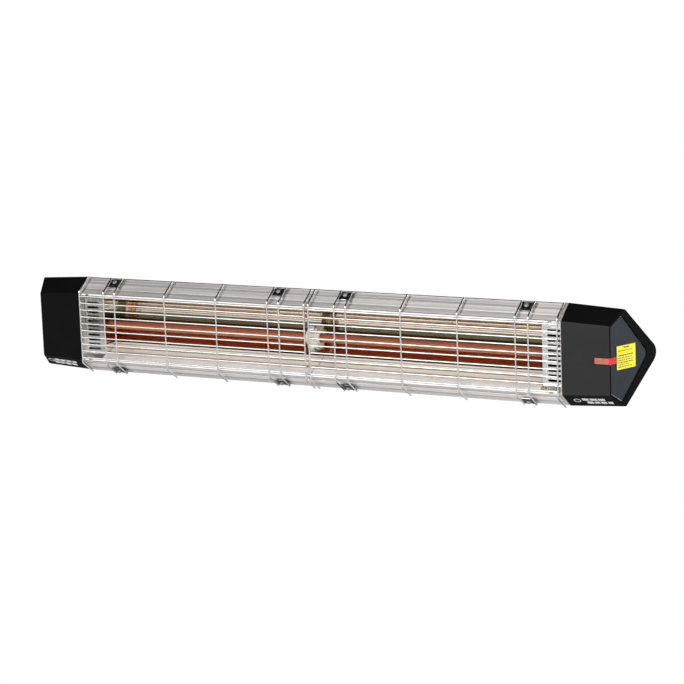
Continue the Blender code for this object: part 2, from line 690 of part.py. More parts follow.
def make_lead(name, route):
    """Sleeved wire along its route, drawn as a bevelled curve."""
    curve = bpy.data.curves.new(name, "CURVE")
    curve.dimensions = "3D"
    curve.bevel_depth = 1.3 * MM
    curve.bevel_resolution = 0
    curve.use_fill_caps = True
    curve.render_resolution_u = 0
    spline = curve.splines.new("POLY")
    spline.points.add(len(route) - 1)
    for point, (x, y, z) in zip(spline.points, route):
        point.co = (x, y, z, 1.0)
    return add_object(name, curve, BRAID)


def lead_route(x_start, start, lane_z, pole_z):
    """From a lamp end, back behind the trough, along the shell and onto a terminal pole."""
    back = 62.0 * MM
    return [(x_start, start, lane_z * 0.4), (x_start, back - 8.0 * MM, lane_z * 0.8),
            (x_start + 3.0 * MM, back - 2.0 * MM, lane_z), (x_start + 9.0 * MM, back, lane_z),
            (372.0 * MM, back, lane_z), (384.0 * MM, back - 3.0 * MM, (lane_z + pole_z) / 2),
            (387.0 * MM, back - 9.0 * MM, pole_z), (388.0 * MM, 46.6 * MM, pole_z)]


def make_leads():
    make_lead("lead_left_lamp", lead_route(-344.0 * MM, 40.4 * MM, 7.0 * MM, 10.0 * MM))
    make_lead("lead_common", lead_route(MIDDLE_X, 49.6 * MM, 0.0, 0.0))
    make_lead("lead_right_lamp", lead_route(344.0 * MM, 40.4 * MM, -7.0 * MM, -10.0 * MM))


# ---------------------------------------------------------------- guards and clips

def square_outline(centre, turn):
    """Square wire section about a (y, z) centre, turned to suit its face."""
    half = WIRE_HALF
    corners = [Vector((-half, -half)), Vector((half, -half)), Vector((half, half)), Vector((-half, half))]
    for corner in corners:
        corner.rotate(Matrix.Rotation(turn, 2))
    return [(centre[0] + corner.x, centre[1] + corner.y) for corner in corners]


def make_guard(side):
    """Welded wire guard: bent uprights in front, straight rows behind, short wires for the clips."""
    name = "guard_" + side_name(side)
    bend = 3.0 * MM
    upright = [(UPRIGHT_Y + LEG_DEPTH, UPRIGHT_HALF + LEG_RISE), (UPRIGHT_Y, UPRIGHT_HALF),
               (UPRIGHT_Y, -UPRIGHT_HALF), (UPRIGHT_Y + LEG_DEPTH, -UPRIGHT_HALF - LEG_RISE)]
    path = fillet(upright, [0.0, bend, bend, 0.0], False, 2)
    ribbon = offset_path(path, WIRE_HALF) + list(reversed(offset_path(path, -WIRE_HALF)))
    spans = [(ribbon, side * x - WIRE_HALF, side * x + WIRE_HALF) for x in UPRIGHTS]
    guard = add_object(name, prisms(name, spans), STAINLESS)

    start, end = sorted((side * UPRIGHTS[0], side * UPRIGHTS[-1]))
    rows = []
    for row in range(ROW_COUNT):
        z = (row - (ROW_COUNT - 1) / 2) * ROW_PITCH
        rows.append((square_outline((ROW_Y, z), 0.0), start, end))
    leg_angle = math.atan2(LEG_RISE, LEG_DEPTH)
    leg = Vector((LEG_DEPTH, LEG_RISE))
    inward = Vector((leg.y, -leg.x)).normalized() * (ROW_Y - UPRIGHT_Y)
    for share in (0.50, 0.95):
        spot = Vector((UPRIGHT_Y, UPRIGHT_HALF)) + leg * share + inward
        for sign in (1, -1):
            section = square_outline((spot.x, sign * spot.y), sign * leg_angle)
            rows += [(section, *sorted((side * a, side * b))) for a, b in CLIP_PAIRS]
    combine(guard, add_cutter(name + "_rows", prisms(name + "_rows", rows)), "UNION")
    return guard


def make_clips():
    """Guard clips on the front slopes, each with its screw."""
    half = CLIP_WIDTH / 2.0
    section = [(CLIP_ALONG - 5.0 * MM, 0.3 * MM), (CLIP_ALONG + 4.4 * MM, 0.3 * MM),
               (CLIP_ALONG + 4.4 * MM, 4.6 * MM), (CLIP_ALONG - 8.2 * MM, 4.6 * MM),
               (CLIP_ALONG - 8.2 * MM, 3.9 * MM), (CLIP_ALONG - 5.0 * MM, 3.9 * MM)]
    hole = add_cutter("clip_holes", screw_holes("clip_holes"))
    for x, sign in clip_positions():
        word = ("upper" if sign > 0 else "lower") + "_" + side_name(x)
        place_word = "inner" if abs(x) < 100.0 * MM else "outer"
        name = "guard_clip_" + place_word + "_" + word
        outline = [slope_point(along, out, sign) for along, out in section]
        clip = add_object(name, prisms(name, [(outline, x - half, x + half)]), BLACK_PLASTIC)
        combine(clip, hole)
        screw = turned("clip_screw_" + place_word + "_" + word,
                       [(0.0, 2.0 * MM), (2.0 * MM, 1.8 * MM), (3.1 * MM, 0.9 * MM), (3.1 * MM, 0.0),
                        (1.6 * MM, 0.0), (1.6 * MM, -9.0 * MM), (0.0, -9.6 * MM)], 8, ZINC)
        y, z = slope_point(CLIP_ALONG, 4.9 * MM, sign)
        screw.rotation_euler = slope_turn(sign).to_euler()
        place(screw, x, y, z)


# ---------------------------------------------------------------- tilting mount

def eye_arc(y, start, end, steps=8):
    """Points round the pivot eye, from one angle to another, in degrees."""
    points = []
    for step in range(steps + 1):
        angle = math.radians(start + (end - start) * step / steps)
        points.append((y + EYE_RADIUS * math.cos(angle), EYE_RADIUS * math.sin(angle)))
    return points


def pivot_hole(name, x):
    return rods(name, [((x, PIVOT_Y, 0.0), PIVOT_HOLE_RADIUS, 60.0 * MM)])


def make_pivot_lug(side):
    """Saddle over the shell's rear ridge with one eye on the tilt axis."""
    name = "pivot_lug_" + side_name(side)
    x = side * BRACKET_X
    outline = [(y, z) for y, z in housing_outline() if y > CORNER_Y + 8.0 * MM]
    reach = Vector((APEX_Y - CORNER_Y, -CORNER_HALF)).normalized() * 54.0 * MM
    top = (CORNER_Y + reach.x, CORNER_HALF + reach.y)
    ridge = [top] + outline + [(top[0], -top[1])]
    inner = offset_path(ridge, GAP)
    lug = folded_sheet(name, inner, x - 20.0 * MM, x + 20.0 * MM, 2.5 * MM, ZINC)
    crown = offset_path(ridge, GAP + 1.2 * MM)
    eye = crown + eye_arc(PIVOT_Y, -90.0, 90.0)
    tab = prisms(name + "_eye", [(eye, x - LUG_HALF, x + LUG_HALF)])
    combine(lug, add_cutter(name + "_eye", tab), "UNION")
    combine(lug, add_cutter(name + "_hole", pivot_hole(name + "_hole", x)))
    return lug


def make_wall_bracket(side):
    """Wall plate with a two-eared fork that carries the tilt bolt."""
    name = "wall_bracket_" + side_name(side)
    x = side * BRACKET_X
    wall = PIVOT_Y + WALL_Y
    plate = [((x - BACKPLATE_HALF_WIDTH, wall - BACKPLATE_THICK, -BACKPLATE_HALF_HEIGHT),
              (x + BACKPLATE_HALF_WIDTH, wall, BACKPLATE_HALF_HEIGHT))]
    bracket = put_on_wall(add_object(name, boxes(name, plate), ZINC))
    root = wall - BACKPLATE_THICK + 1.0 * MM
    ear = [(root, -20.0 * MM), (root, 20.0 * MM)] + eye_arc(PIVOT_Y, 90.0, 270.0)
    near = LUG_HALF + FORK_CLEAR
    ears = [(ear, x + s * near, x + s * (near + FORK_THICK)) for s in (-1, 1)]
    combine(bracket, put_on_wall(add_cutter(name + "_ears", prisms(name + "_ears", ears))), "UNION")
    combine(bracket, put_on_wall(add_cutter(name + "_hole", pivot_hole(name + "_hole", x))))
    screws = [((x + across * WALL_SCREW_X, wall, up * WALL_SCREW_Z), WALL_SCREW_RADIUS, 20.0 * MM)
              for across in (-1, 1) for up in (-1, 1)]
    combine(bracket, put_on_wall(add_cutter(name + "_screws", rods(name + "_screws", screws, "Y", 12))))
    return bracket


def make_pivot_bolt(side):
    """Hexagon bolt through the fork and the lug, and its nut."""
    word = side_name(side)
    x = side * BRACKET_X
    face = LUG_HALF + FORK_CLEAR + FORK_THICK + GAP
    shank_end = face + 9.0 * MM
    centre = (x + side * (face - shank_end + 1.0 * MM) / 2, PIVOT_Y, 0.0)
    shank = [(centre, PIVOT_RADIUS, face + shank_end + 1.0 * MM)]
    bolt = put_on_wall(add_object("pivot_bolt_" + word, rods("pivot_bolt_" + word, shank), ZINC))
    head = [((x + side * (face + 2.75 * MM), PIVOT_Y, 0.0), 7.5 * MM, 5.5 * MM)]
    hexagon = rods("pivot_bolt_head_" + word, head, "X", 6)
    combine(bolt, put_on_wall(add_cutter("pivot_bolt_head_" + word, hexagon)), "UNION")
    nut_x = x - side * (face + 3.25 * MM)
    nut_mesh = rods("pivot_nut_" + word, [((nut_x, PIVOT_Y, 0.0), 7.5 * MM, 6.5 * MM)], "X", 6)
    nut = put_on_wall(add_object("pivot_nut_" + word, nut_mesh, ZINC))
    combine(nut, put_on_wall(add_cutter("pivot_nut_bore_" + word, pivot_hole("pivot_nut_bore_" + word, x))))


# ---------------------------------------------------------------- assembly

def build():
    make_housing()
    caps = {}
    for side in (-1, 1):
        make_end_plate(side)
        caps[side] = make_end_cap(side)
        make_reflector(side)
        make_vent_plate(side)
        make_lamp(side)
        make_end_holder(side)
        make_guard(side)
        make_pivot_lug(side)
        make_wall_bracket(side)
        make_pivot_bolt(side)
    make_right_cap_fittings(*caps[1])
    make_middle_holder()
    make_leads()
    make_clips()


build()
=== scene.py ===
"""Looks of a linear infrared heater: two ruby lamps in a mirror trough behind wire guards.

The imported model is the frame. Pieces are drawn in millimetres, and new_piece() turns them
into metres. Sections are (y, z) points, with y measured back from the heater's front face,
and at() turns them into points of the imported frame.
"""
import random
from math import atan2, copysign, cos, pi, radians, sin, tan, tau

import bmesh
import bpy
from mathutils import Matrix, Vector


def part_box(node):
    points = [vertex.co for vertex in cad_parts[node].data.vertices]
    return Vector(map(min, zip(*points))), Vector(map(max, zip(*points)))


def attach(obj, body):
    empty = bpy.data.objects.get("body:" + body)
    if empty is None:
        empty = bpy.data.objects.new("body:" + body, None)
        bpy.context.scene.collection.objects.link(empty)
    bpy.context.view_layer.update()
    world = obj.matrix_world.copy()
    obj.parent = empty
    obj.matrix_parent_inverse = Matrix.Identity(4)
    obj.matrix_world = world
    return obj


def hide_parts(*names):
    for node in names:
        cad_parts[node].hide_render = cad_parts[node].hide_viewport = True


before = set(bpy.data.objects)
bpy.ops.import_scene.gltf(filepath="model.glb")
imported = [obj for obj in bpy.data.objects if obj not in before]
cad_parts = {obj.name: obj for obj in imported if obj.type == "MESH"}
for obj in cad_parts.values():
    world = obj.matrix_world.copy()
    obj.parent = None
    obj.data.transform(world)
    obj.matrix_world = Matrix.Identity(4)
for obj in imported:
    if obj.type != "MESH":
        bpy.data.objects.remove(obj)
bpy.context.view_layer.update()

MM = 0.001
SIDES = {"left": -1, "right": 1}


def box(node):
    """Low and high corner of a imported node, in millimetres."""
    return [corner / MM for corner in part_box(node)]


def span(node):
    """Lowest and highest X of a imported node."""
    return [corner.x for corner in box(node)]


FRONT = box("housing_shell")[0].y              # the heater's front face

# Housing section
FRONT_HALF = 45.8
CORNER_Y, CORNER_HALF = 27.1, 65.4
APEX_Y = 87.3
CORNER_RADIUS, APEX_RADIUS = 2.5, 17.0
SHELL_WALL = 1.6
LIP_HALF = 43.9
SLOPE_ALONG = Vector((CORNER_Y, CORNER_HALF - FRONT_HALF)).normalized()
SLOPE_OUT = Vector((-SLOPE_ALONG.y, SLOPE_ALONG.x))
SLOPE_ANGLE = atan2(SLOPE_ALONG.y, SLOPE_ALONG.x)
REAR_ALONG = Vector((APEX_Y - CORNER_Y, -CORNER_HALF)).normalized()
REAR_OUT = Vector((-REAR_ALONG.y, REAR_ALONG.x))
CORNER_STEPS = [4, 8, 24, 8, 4]

# End caps
CAP_IN = box("end_cap_right")[0].x
CAP_OUT = 418.9
CAP_SLANT = 0.384
CAP_WALL = 2.5
CAP_SHRINK_Z, CAP_SHRINK_Y, CAP_SHRINK_ABOUT_Y = 0.936, 0.953, 25.5
PANEL_RECESS, PANEL_THICK, PANEL_GAP = 3.0, 1.2, 0.3
GLAND_BORE = 3.6

# Trough, vent plates and lamps
TROUGH_Y, TROUGH_RADIUS = 12.5, 38.0
FLANGE_Y, FLANGE_HALF = 2.4, 43.6
SHEET = 0.8
LAMP_RADIUS, LAMP_BORE = box("lamp_tube_right")[1].z, 4.2
LAMP_Y = box("lamp_tube_right")[0].y + LAMP_RADIUS - FRONT

# Guards
WIRE_RADIUS, ROW_RADIUS = 1.05, 0.9
UPRIGHT_Y, UPRIGHT_HALF = -3.1, 49.4
LEG_RISE, LEG_DEPTH = 16.0, 23.1
UPRIGHTS = [3.2, 41.1, 58.0, 136.5, 216.0, 295.5, 312.8, 351.8]
ROW_Y, ROW_PITCH, ROW_COUNT = -1.2, 9.4, 10
CLIP_PAIRS = [UPRIGHTS[1:3], UPRIGHTS[5:7]]
CLIP_ALONG = 20.3


# ------------------------------ materials

def feed(tree, socket, value):
    """Link an output to a socket or set its value; a number fills a colour or a vector evenly."""
    if isinstance(value, bpy.types.NodeSocket):
        tree.links.new(value, socket)
        return
    if socket.type in ("RGBA", "VECTOR") and not isinstance(value, tuple):
        value = (value,) * 3
    if socket.type == "RGBA":
        value = (*value[:3], 1.0)
    socket.default_value = value


def add_node(tree, kind, **inputs):
    """New shader node; keywords feed its inputs by name, with _ for a space."""
    node = tree.nodes.new("ShaderNode" + kind)
    for name, value in inputs.items():
        feed(tree, node.inputs[name.replace("_", " ")], value)
    return node


def spread(tree, value, source, target=(0.0, 1.0)):
    """Linear map of a value from one range to another, clamped."""
    node = add_node(tree, "MapRange", Value=value, From_Min=source[0], From_Max=source[1],
                    To_Min=target[0], To_Max=target[1])
    return node.outputs["Result"]


def grain(tree, cells, detail=3.0):
    """Noise from 0 to 1 in object space, with its cells per metre, one number or one for each axis."""
    place = add_node(tree, "TexCoord").outputs["Object"]
    mapping = add_node(tree, "Mapping", Vector=place, Scale=cells)
    noise = add_node(tree, "TexNoise", Vector=mapping.outputs["Vector"], Scale=1.0, Detail=detail)
    return spread(tree, noise.outputs["Fac"], (0.3, 0.7))


def blend_colors(tree, factor, first, second, kind="MIX"):
    """Blend of two colours, each a triple, a grey level or a socket."""
    node = add_node(tree, "Mix")
    node.data_type = "RGBA"
    node.blend_type = kind
    feed(tree, node.inputs["Factor"], factor)
    for socket, color in zip([s for s in node.inputs if s.type == "RGBA"], (first, second)):
        feed(tree, socket, color)
    return next(s for s in node.outputs if s.type == "RGBA")


def edge_wear(tree, radius):
    """One along worn convex edges, zero on flats: how far the rounded normal leans from the true one."""
    dot = add_node(tree, "VectorMath")
    dot.operation = "DOT_PRODUCT"
    feed(tree, dot.inputs[0], add_node(tree, "Bevel", Radius=radius * MM).outputs["Normal"])
    feed(tree, dot.inputs[1], add_node(tree, "NewGeometry").outputs["Normal"])
    return spread(tree, dot.outputs["Value"], (0.995, 0.90))


def height_bands(tree, bands):
    """Colour that changes softly with height, from (z, colour) stops in millimetres, bottom to top."""
    split = add_node(tree, "SeparateXYZ", Vector=add_node(tree, "TexCoord").outputs["Object"])
    low, high = bands[0][0] * MM, bands[-1][0] * MM
    ramp = add_node(tree, "ValToRGB", Fac=spread(tree, split.outputs["Z"], (low, high)))
    while len(ramp.color_ramp.elements) < len(bands):
        ramp.color_ramp.elements.new(0.5)
    for stop, (z, color) in zip(ramp.color_ramp.elements, bands):
        stop.position = (z * MM - low) / (high - low)
        stop.color = (*color, 1.0)
    return ramp.outputs["Color"]


def surface(name, colors, rough, cells, depth=0.004, metallic=0.0, broad=(9.0, 30.0, 30.0), wear=None,
            bands=None, **constants):
    """Principled material: fine grain drives roughness and bump, broad grain drives the colour.

    colors is (darker, lighter), rough (lowest, highest), depth the bump in millimetres, wear an
    optional (radius, colour) for rubbed edges, and bands optional stops that multiply the colour
    by height. Anisotropic metal is brushed along X.
    """
    material = bpy.data.materials.new(name)
    material.use_nodes = True
    tree = material.node_tree
    shader = tree.nodes["Principled BSDF"]
    shader.inputs["Metallic"].default_value = metallic
    for socket, value in constants.items():
        shader.inputs[socket.replace("_", " ")].default_value = value
    if "Anisotropic" in constants:
        around = add_node(tree, "Tangent")
        around.direction_type = "RADIAL"
        around.axis = "X"
        feed(tree, shader.inputs["Tangent"], around.outputs["Tangent"])
    fine = grain(tree, cells)
    color = blend_colors(tree, grain(tree, broad, detail=4.0), *colors)
    if wear:
        color = blend_colors(tree, edge_wear(tree, wear[0]), color, wear[1])
    if bands:
        color = blend_colors(tree, 1.0, color, height_bands(tree, bands), "MULTIPLY")
    bump = add_node(tree, "Bump", Strength=1.0, Distance=depth * MM, Height=fine)
    feed(tree, shader.inputs["Base Color"], color)
    feed(tree, shader.inputs["Roughness"], spread(tree, fine, (0.0, 1.0), rough))
    feed(tree, shader.inputs["Normal"], bump.outputs["Normal"])
    return material


# Soft colour bands of the polished pieces: painted reflections in the mirror trough and its satin lower part,
# and a painted highlight along the lamp tubes
WHITE, CREAM = (1.0, 0.99, 0.97), (0.95, 0.91, 0.85)
OLIVE, LINE = (0.19, 0.175, 0.11), (0.22, 0.20, 0.17)
DEEP, RED, BLACK = (0.11, 0.10, 0.07), (0.90, 0.42, 0.24), (0.05, 0.04, 0.03)
TROUGH_REFLECTION_BANDS = [(-44.0, CREAM), (-26.0, CREAM), (-25.5, BLACK), (-24.0, BLACK),
                (-23.5, RED), (-17.0, RED), (-16.0, (0.30, 0.09, 0.05)), (-13.5, RED),
                (-9.0, RED), (-6.0, CREAM), (-4.0, CREAM), (-2.0, OLIVE), (2.0, DEEP),
                (5.0, OLIVE), (15.5, OLIVE), (16.5, DEEP), (18.0, WHITE), (19.5, LINE),
                (20.5, CREAM), (24.0, WHITE), (25.3, LINE), (26.5, CREAM),
                (31.5, WHITE), (33.0, LINE), (34.0, WHITE), (36.0, WHITE),
                (37.0, LINE), (38.0, WHITE), (44.0, WHITE)]
SATIN_REFLECTION_BANDS = [(-44.0, WHITE), (-38.0, WHITE), (-37.0, (0.20, 0.18, 0.15)), (-36.0, WHITE),
               (-33.5, CREAM), (-32.5, (0.16, 0.14, 0.10)), (-31.5, CREAM), (-29.5, WHITE),
               (-28.5, (0.30, 0.29, 0.27)), (-27.5, CREAM), (-24.0, CREAM)]
# Painted highlight: a pale core band just below the middle of each lamp tube, darker red above and below.
RUBY_HIGHLIGHT_BANDS = [(-5.3, (0.27, 0.070, 0.030)), (-3.0, (0.36, 0.12, 0.045)), (-1.6, (0.48, 0.20, 0.09)),
              (-0.8, (0.72, 0.38, 0.20)), (0.0, (0.46, 0.18, 0.08)), (1.0, (0.30, 0.070, 0.026)),
              (5.3, (0.30, 0.070, 0.026))]

# Aluminium
ROLLED = {"rough": (0.44, 0.60), "cells": (5.0, 900.0, 900.0), "metallic": 1.0,
          "broad": (2.0, 300.0, 300.0), "Anisotropic": 0.85}
BRUSHED = surface("rolled_aluminium", ((0.56, 0.53, 0.51), (0.78, 0.75, 0.73)), **ROLLED)
# Darker and lighter copies of the rolled aluminium: painted shade and painted light on the strips of the front
# slopes.
BRUSHED_SHADED = surface("rolled_aluminium_painted_shade", ((0.44, 0.41, 0.41), (0.60, 0.56, 0.56)), **ROLLED)
BRUSHED_LIT = surface("rolled_aluminium_painted_light", ((0.68, 0.65, 0.63), (0.90, 0.87, 0.85)), **ROLLED)
POLISHED = {"cells": (4.0, 300.0, 300.0), "broad": (4.0, 260.0, 260.0)}
MIRROR = surface("mirror_aluminium", ((0.84, 0.82, 0.78), (0.93, 0.92, 0.90)), (0.03, 0.10),
                 metallic=1.0, bands=TROUGH_REFLECTION_BANDS, **POLISHED)
SATIN = surface("mirror_aluminium_satin", ((0.84, 0.82, 0.78), (0.96, 0.95, 0.93)), (0.30, 0.42),
                metallic=0.45, bands=SATIN_REFLECTION_BANDS, **POLISHED)
BRIGHT = surface("bright_aluminium", ((0.90, 0.89, 0.88), (0.97, 0.96, 0.95)), (0.12, 0.24),
                 (120.0, 160.0, 160.0), 0.005, metallic=1.0)
# Darker copy of the bright aluminium: painted shade for the left vent plate.
BRIGHT_SHADED = surface("bright_aluminium_painted_shade", ((0.30, 0.29, 0.28), (0.92, 0.91, 0.90)), (0.12, 0.24),
                     (200.0, 260.0, 420.0), 0.005, metallic=1.0)
FLANGE = surface("satin_aluminium", ((0.80, 0.79, 0.79), (0.93, 0.92, 0.91)), (0.22, 0.38),
                 (8.0, 500.0, 500.0), metallic=0.45, broad=(3.0, 200.0, 200.0))
# Near black: painted shadow in the joint grooves and painted shade on the shell's inner faces.
PAINTED_SHADOW = surface("painted_shadow", ((0.020, 0.018, 0.016), (0.040, 0.036, 0.033)), (0.55, 0.75),
                     900.0, 0.010, Specular_IOR_Level=0.2)

# Steel
STAINLESS = surface("stainless_wire", ((0.88, 0.87, 0.86), (0.99, 0.98, 0.97)), (0.08, 0.18), 500.0,
                    metallic=1.0, broad=60.0)
# Near-black copy of the wire: painted shade and painted dark reflection.
WIRE_PAINTED_SHADE = surface("stainless_wire_painted_shade", (0.012, (0.030, 0.029, 0.028)), (0.25, 0.40), 500.0,
                    metallic=1.0, broad=60.0)
ZINC = surface("zinc_plated_steel", ((0.50, 0.51, 0.53), (0.72, 0.73, 0.75)), (0.26, 0.44), 420.0, 0.010,
               metallic=1.0, broad=150.0, wear=(0.5, (0.82, 0.82, 0.84)))
GOLD_ZINC = surface("yellow_zinc", ((0.42, 0.33, 0.14), (0.66, 0.56, 0.30)), (0.30, 0.45), 420.0, 0.008,
                    metallic=0.4, broad=300.0)
SCREW_ZINC = surface("dull_zinc", ((0.17, 0.175, 0.18), (0.30, 0.31, 0.32)), (0.35, 0.50), 420.0, 0.008,
                     metallic=0.30, broad=300.0)
CLIP_BLACK = surface("black_coated_steel", (0.0015, 0.003), (0.20, 0.35), 1500.0, 0.012, wear=(0.25, 0.06))
TUNGSTEN = surface("tungsten_wire", ((0.16, 0.15, 0.14), (0.34, 0.32, 0.30)), (0.30, 0.50), 3000.0,
                   metallic=1.0)

# Mouldings, panels and print
MOULDED = {"cells": 2600.0, "depth": 0.022, "broad": 30.0}
CAP_BLACK = surface("black_moulding", ((0.0014, 0.0014, 0.0016), (0.0026, 0.0026, 0.0028)), (0.60, 0.75),
                    wear=(0.6, (0.010, 0.010, 0.011)), Specular_IOR_Level=0.07, **MOULDED)
# Lighter, glossier copy of the black moulding: painted light on the right cap's front faces.
CAP_FRONT_LIT = surface("black_moulding_painted_light", ((0.0036, 0.0036, 0.0038), (0.0056, 0.0056, 0.0058)),
                    (0.40, 0.52), wear=(0.6, (0.016, 0.016, 0.017)), Specular_IOR_Level=0.34, **MOULDED)
GLAND_BLACK = surface("black_nylon", ((0.008, 0.008, 0.009), (0.014, 0.014, 0.016)), (0.38, 0.55),
                      1800.0, 0.020)
SLATE = surface("slate_panel", ((0.010, 0.0145, 0.019), (0.0155, 0.021, 0.027)), (0.34, 0.48), 1400.0, 0.012,
                broad=(25.0, 35.0, 25.0), Specular_IOR_Level=0.35)
# Pale grey: a painted highlight line along the panel's chamfer.
PANEL_EDGE_HIGHLIGHT = surface("panel_edge", ((0.42, 0.42, 0.45), (0.55, 0.55, 0.58)), (0.25, 0.40), 1400.0, 0.006)
YELLOW = surface("yellow_film", ((0.80, 0.71, 0.006), (0.88, 0.80, 0.010)), (0.30, 0.42), 1600.0, 0.006)
NAVY_INK = surface("navy_ink", ((0.014, 0.012, 0.085), (0.024, 0.020, 0.12)), (0.30, 0.45), 1600.0)
WHITE_INK = surface("white_ink", (0.66, 0.82), (0.40, 0.60), 2400.0)

# Lamps, lens, ceramic and wiring
RUBY = surface("ruby_quartz", (0.80, 1.0), (0.06, 0.16), (14.0, 520.0, 520.0), broad=(4.0, 320.0, 320.0),
               bands=RUBY_HIGHLIGHT_BANDS, Transmission_Weight=0.10, Specular_IOR_Level=0.25, Coat_Weight=0.08,
               Coat_Roughness=0.06)
CERAMIC = surface("steatite_ceramic", ((0.42, 0.38, 0.31), (0.58, 0.53, 0.46)), (0.45, 0.70), 1300.0, 0.030,
                  broad=70.0, Subsurface_Weight=0.05, Subsurface_Scale=0.002)
BASE_CERAMIC = surface("fired_base_ceramic", ((0.035, 0.032, 0.028), (0.07, 0.064, 0.056)), (0.60, 0.80),
                       900.0, 0.01, broad=60.0)
LENS_RED = surface("red_lens", ((0.56, 0.004, 0.006), (0.72, 0.012, 0.014)), (0.10, 0.22), 900.0, 0.006,
                   broad=200.0, Coat_Weight=1.0, Coat_Roughness=0.08,
                   Emission_Color=(1.0, 0.02, 0.02, 1.0), Emission_Strength=0.04)
# Paler salmon copy of the red lens: painted sheen on its ribbed front.
LENS_FRONT_SHEEN = surface("red_lens_painted_sheen", ((0.30, 0.09, 0.06), (0.48, 0.14, 0.10)), (0.22, 0.36), 900.0, 0.006,
                     broad=200.0, Coat_Weight=0.3, Coat_Roughness=0.15)
BRAID = surface("glass_braid", ((0.52, 0.45, 0.33), (0.76, 0.70, 0.56)), (0.75, 0.95), 1700.0, 0.150)


# ------------------------------ outlines and meshes

def at(x, y, z):
    """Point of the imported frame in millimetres, from the middle, the front face and the lamps' level."""
    return Vector((x, FRONT + y, z))


def rounded(corners, radii, steps):
    """Closed polygon with each corner turned into an arc of that many steps."""
    outline = []
    for i, (point, radius, count) in enumerate(zip(corners, radii, steps)):
        if not radius:
            outline.append(tuple(point))
            continue
        corner = Vector(point)
        back = (Vector(corners[i - 1]) - corner).normalized()
        ahead = (Vector(corners[(i + 1) % len(corners)]) - corner).normalized()
        half = back.angle(ahead) / 2.0
        centre = corner + (back + ahead).normalized() * (radius / sin(half))
        start = corner + back * (radius / tan(half)) - centre
        sweep = start.angle_signed(corner + ahead * (radius / tan(half)) - centre)
        for step in range(count + 1):
            arm = start.copy()
            arm.rotate(Matrix.Rotation(-sweep * step / count, 2))
            outline.append(tuple(centre + arm))
    return outline


def rounded_path(points, radii, steps):
    """Open path with its inner corners turned into arcs."""
    path = [points[0]]
    for before, point, after, radius in zip(points, points[1:], points[2:], radii):
        path += rounded([before, point, after], [0.0, radius, 0.0], [1, steps, 1])[1:-1]
    return path + [points[-1]]


def offset_path(points, distance, closed=False):
    """Parallel path, to the left of the direction of travel, with mitred corners."""
    result = []
    count = len(points)
    for i, point in enumerate(points):
        before = points[i - 1] if closed or i > 0 else None
        after = points[(i + 1) % count] if closed or i < count - 1 else None
        normals = []
        for start, end in ((before, point), (point, after)):
            if start is not None and end is not None:
                run = (Vector(end) - Vector(start)).normalized()
                normals.append(Vector((-run.y, run.x)))
        mitre = sum(normals, Vector((0.0, 0.0))).normalized()
        result.append(tuple(Vector(point) + mitre * (distance / mitre.dot(normals[0]))))
    return result


def thick_strip(path, thickness):
    """Closed outline of a sheet that follows an open path, thickened to its left."""
    return list(path) + list(reversed(offset_path(path, thickness)))


def add_loft(bm, rings, material_index=0):
    """Closed skin through rings of equal point count, capped at both ends."""
    rows = [[bm.verts.new(point) for point in ring] for ring in rings]
    count = len(rows[0])
    faces = [bm.faces.new((near[i], near[(i + 1) % count], far[(i + 1) % count], far[i]))
             for near, far in zip(rows, rows[1:]) for i in range(count)]
    faces += [bm.faces.new(rows[0]), bm.faces.new(rows[-1])]
    for face in faces:
        face.material_index = material_index


def add_prism(bm, outline, x_start, x_end):
    """Outline drawn in (y, z), run along X."""
    add_loft(bm, [[at(x, y, z) for y, z in outline] for x in (x_start, x_end)])


def add_box(bm, low, high, matrix=Matrix.Identity(4)):
    """Box between two corners, moved by a matrix."""
    size = Vector(high) - Vector(low)
    middle = (Vector(high) + Vector(low)) / 2.0
    place = matrix @ Matrix.Translation(middle) @ Matrix.Diagonal((*size, 1.0))
    bmesh.ops.create_cube(bm, size=1.0, matrix=place)


def circle(count):
    """Even points round a circle, as (cosine, sine) pairs."""
    return [(cos(tau * i / count), sin(tau * i / count)) for i in range(count)]


def add_turned(bm, profile, matrix, segments):
    """Solid of revolution about local Z from a (radius, z) profile, top to bottom."""
    add_loft(bm, [[matrix @ Vector((radius * c, radius * s, z)) for c, s in circle(segments)]
                  for radius, z in profile])


def add_tube(bm, path, radius, sides):
    """Round bar along a 3-D path, its frame carried without twist, with softened ends."""
    points = [Vector(p) for p in path]
    runs = [(b - a).normalized() for a, b in zip(points, points[1:])]
    tangents = [runs[0]] + [(a + b).normalized() for a, b in zip(runs, runs[1:])] + [runs[-1]]
    normal = tangents[0].orthogonal().normalized()
    rings = []
    for i, (point, tangent) in enumerate(zip(points, tangents)):
        normal = (normal - tangent * normal.dot(tangent)).normalized()
        side = tangent.cross(normal)
        ring = [normal * c + side * s for c, s in circle(sides)]
        widths = [(0.0, 1.0)]
        if i == 0:
            widths = [(0.0, 0.60), (radius * 0.2, 0.92), (radius * 0.55, 1.0)]
        elif i == len(points) - 1:
            widths = [(-radius * 0.55, 1.0), (-radius * 0.2, 0.92), (0.0, 0.60)]
        for shift, scale in widths:
            rings.append([point + tangent * shift + arm * radius * scale for arm in ring])
    add_loft(bm, rings)


def new_piece(name, bm, smooth=32.0):
    """Object from a bmesh drawn in millimetres, faces out, smooth except at sharp edges."""
    bmesh.ops.recalc_face_normals(bm, faces=bm.faces)
    bm.transform(Matrix.Scale(MM, 4))
    mesh = bpy.data.meshes.new(name)
    bm.to_mesh(mesh)
    bm.free()
    piece = bpy.data.objects.new(name, mesh)
    bpy.context.scene.collection.objects.link(piece)
    shade(piece, smooth)
    return piece


def shade(piece, smooth=32.0):
    """Smooth shading, except at edges sharper than an angle in degrees."""
    piece.data.shade_smooth()
    piece.data.set_sharp_from_angle(angle=radians(smooth))


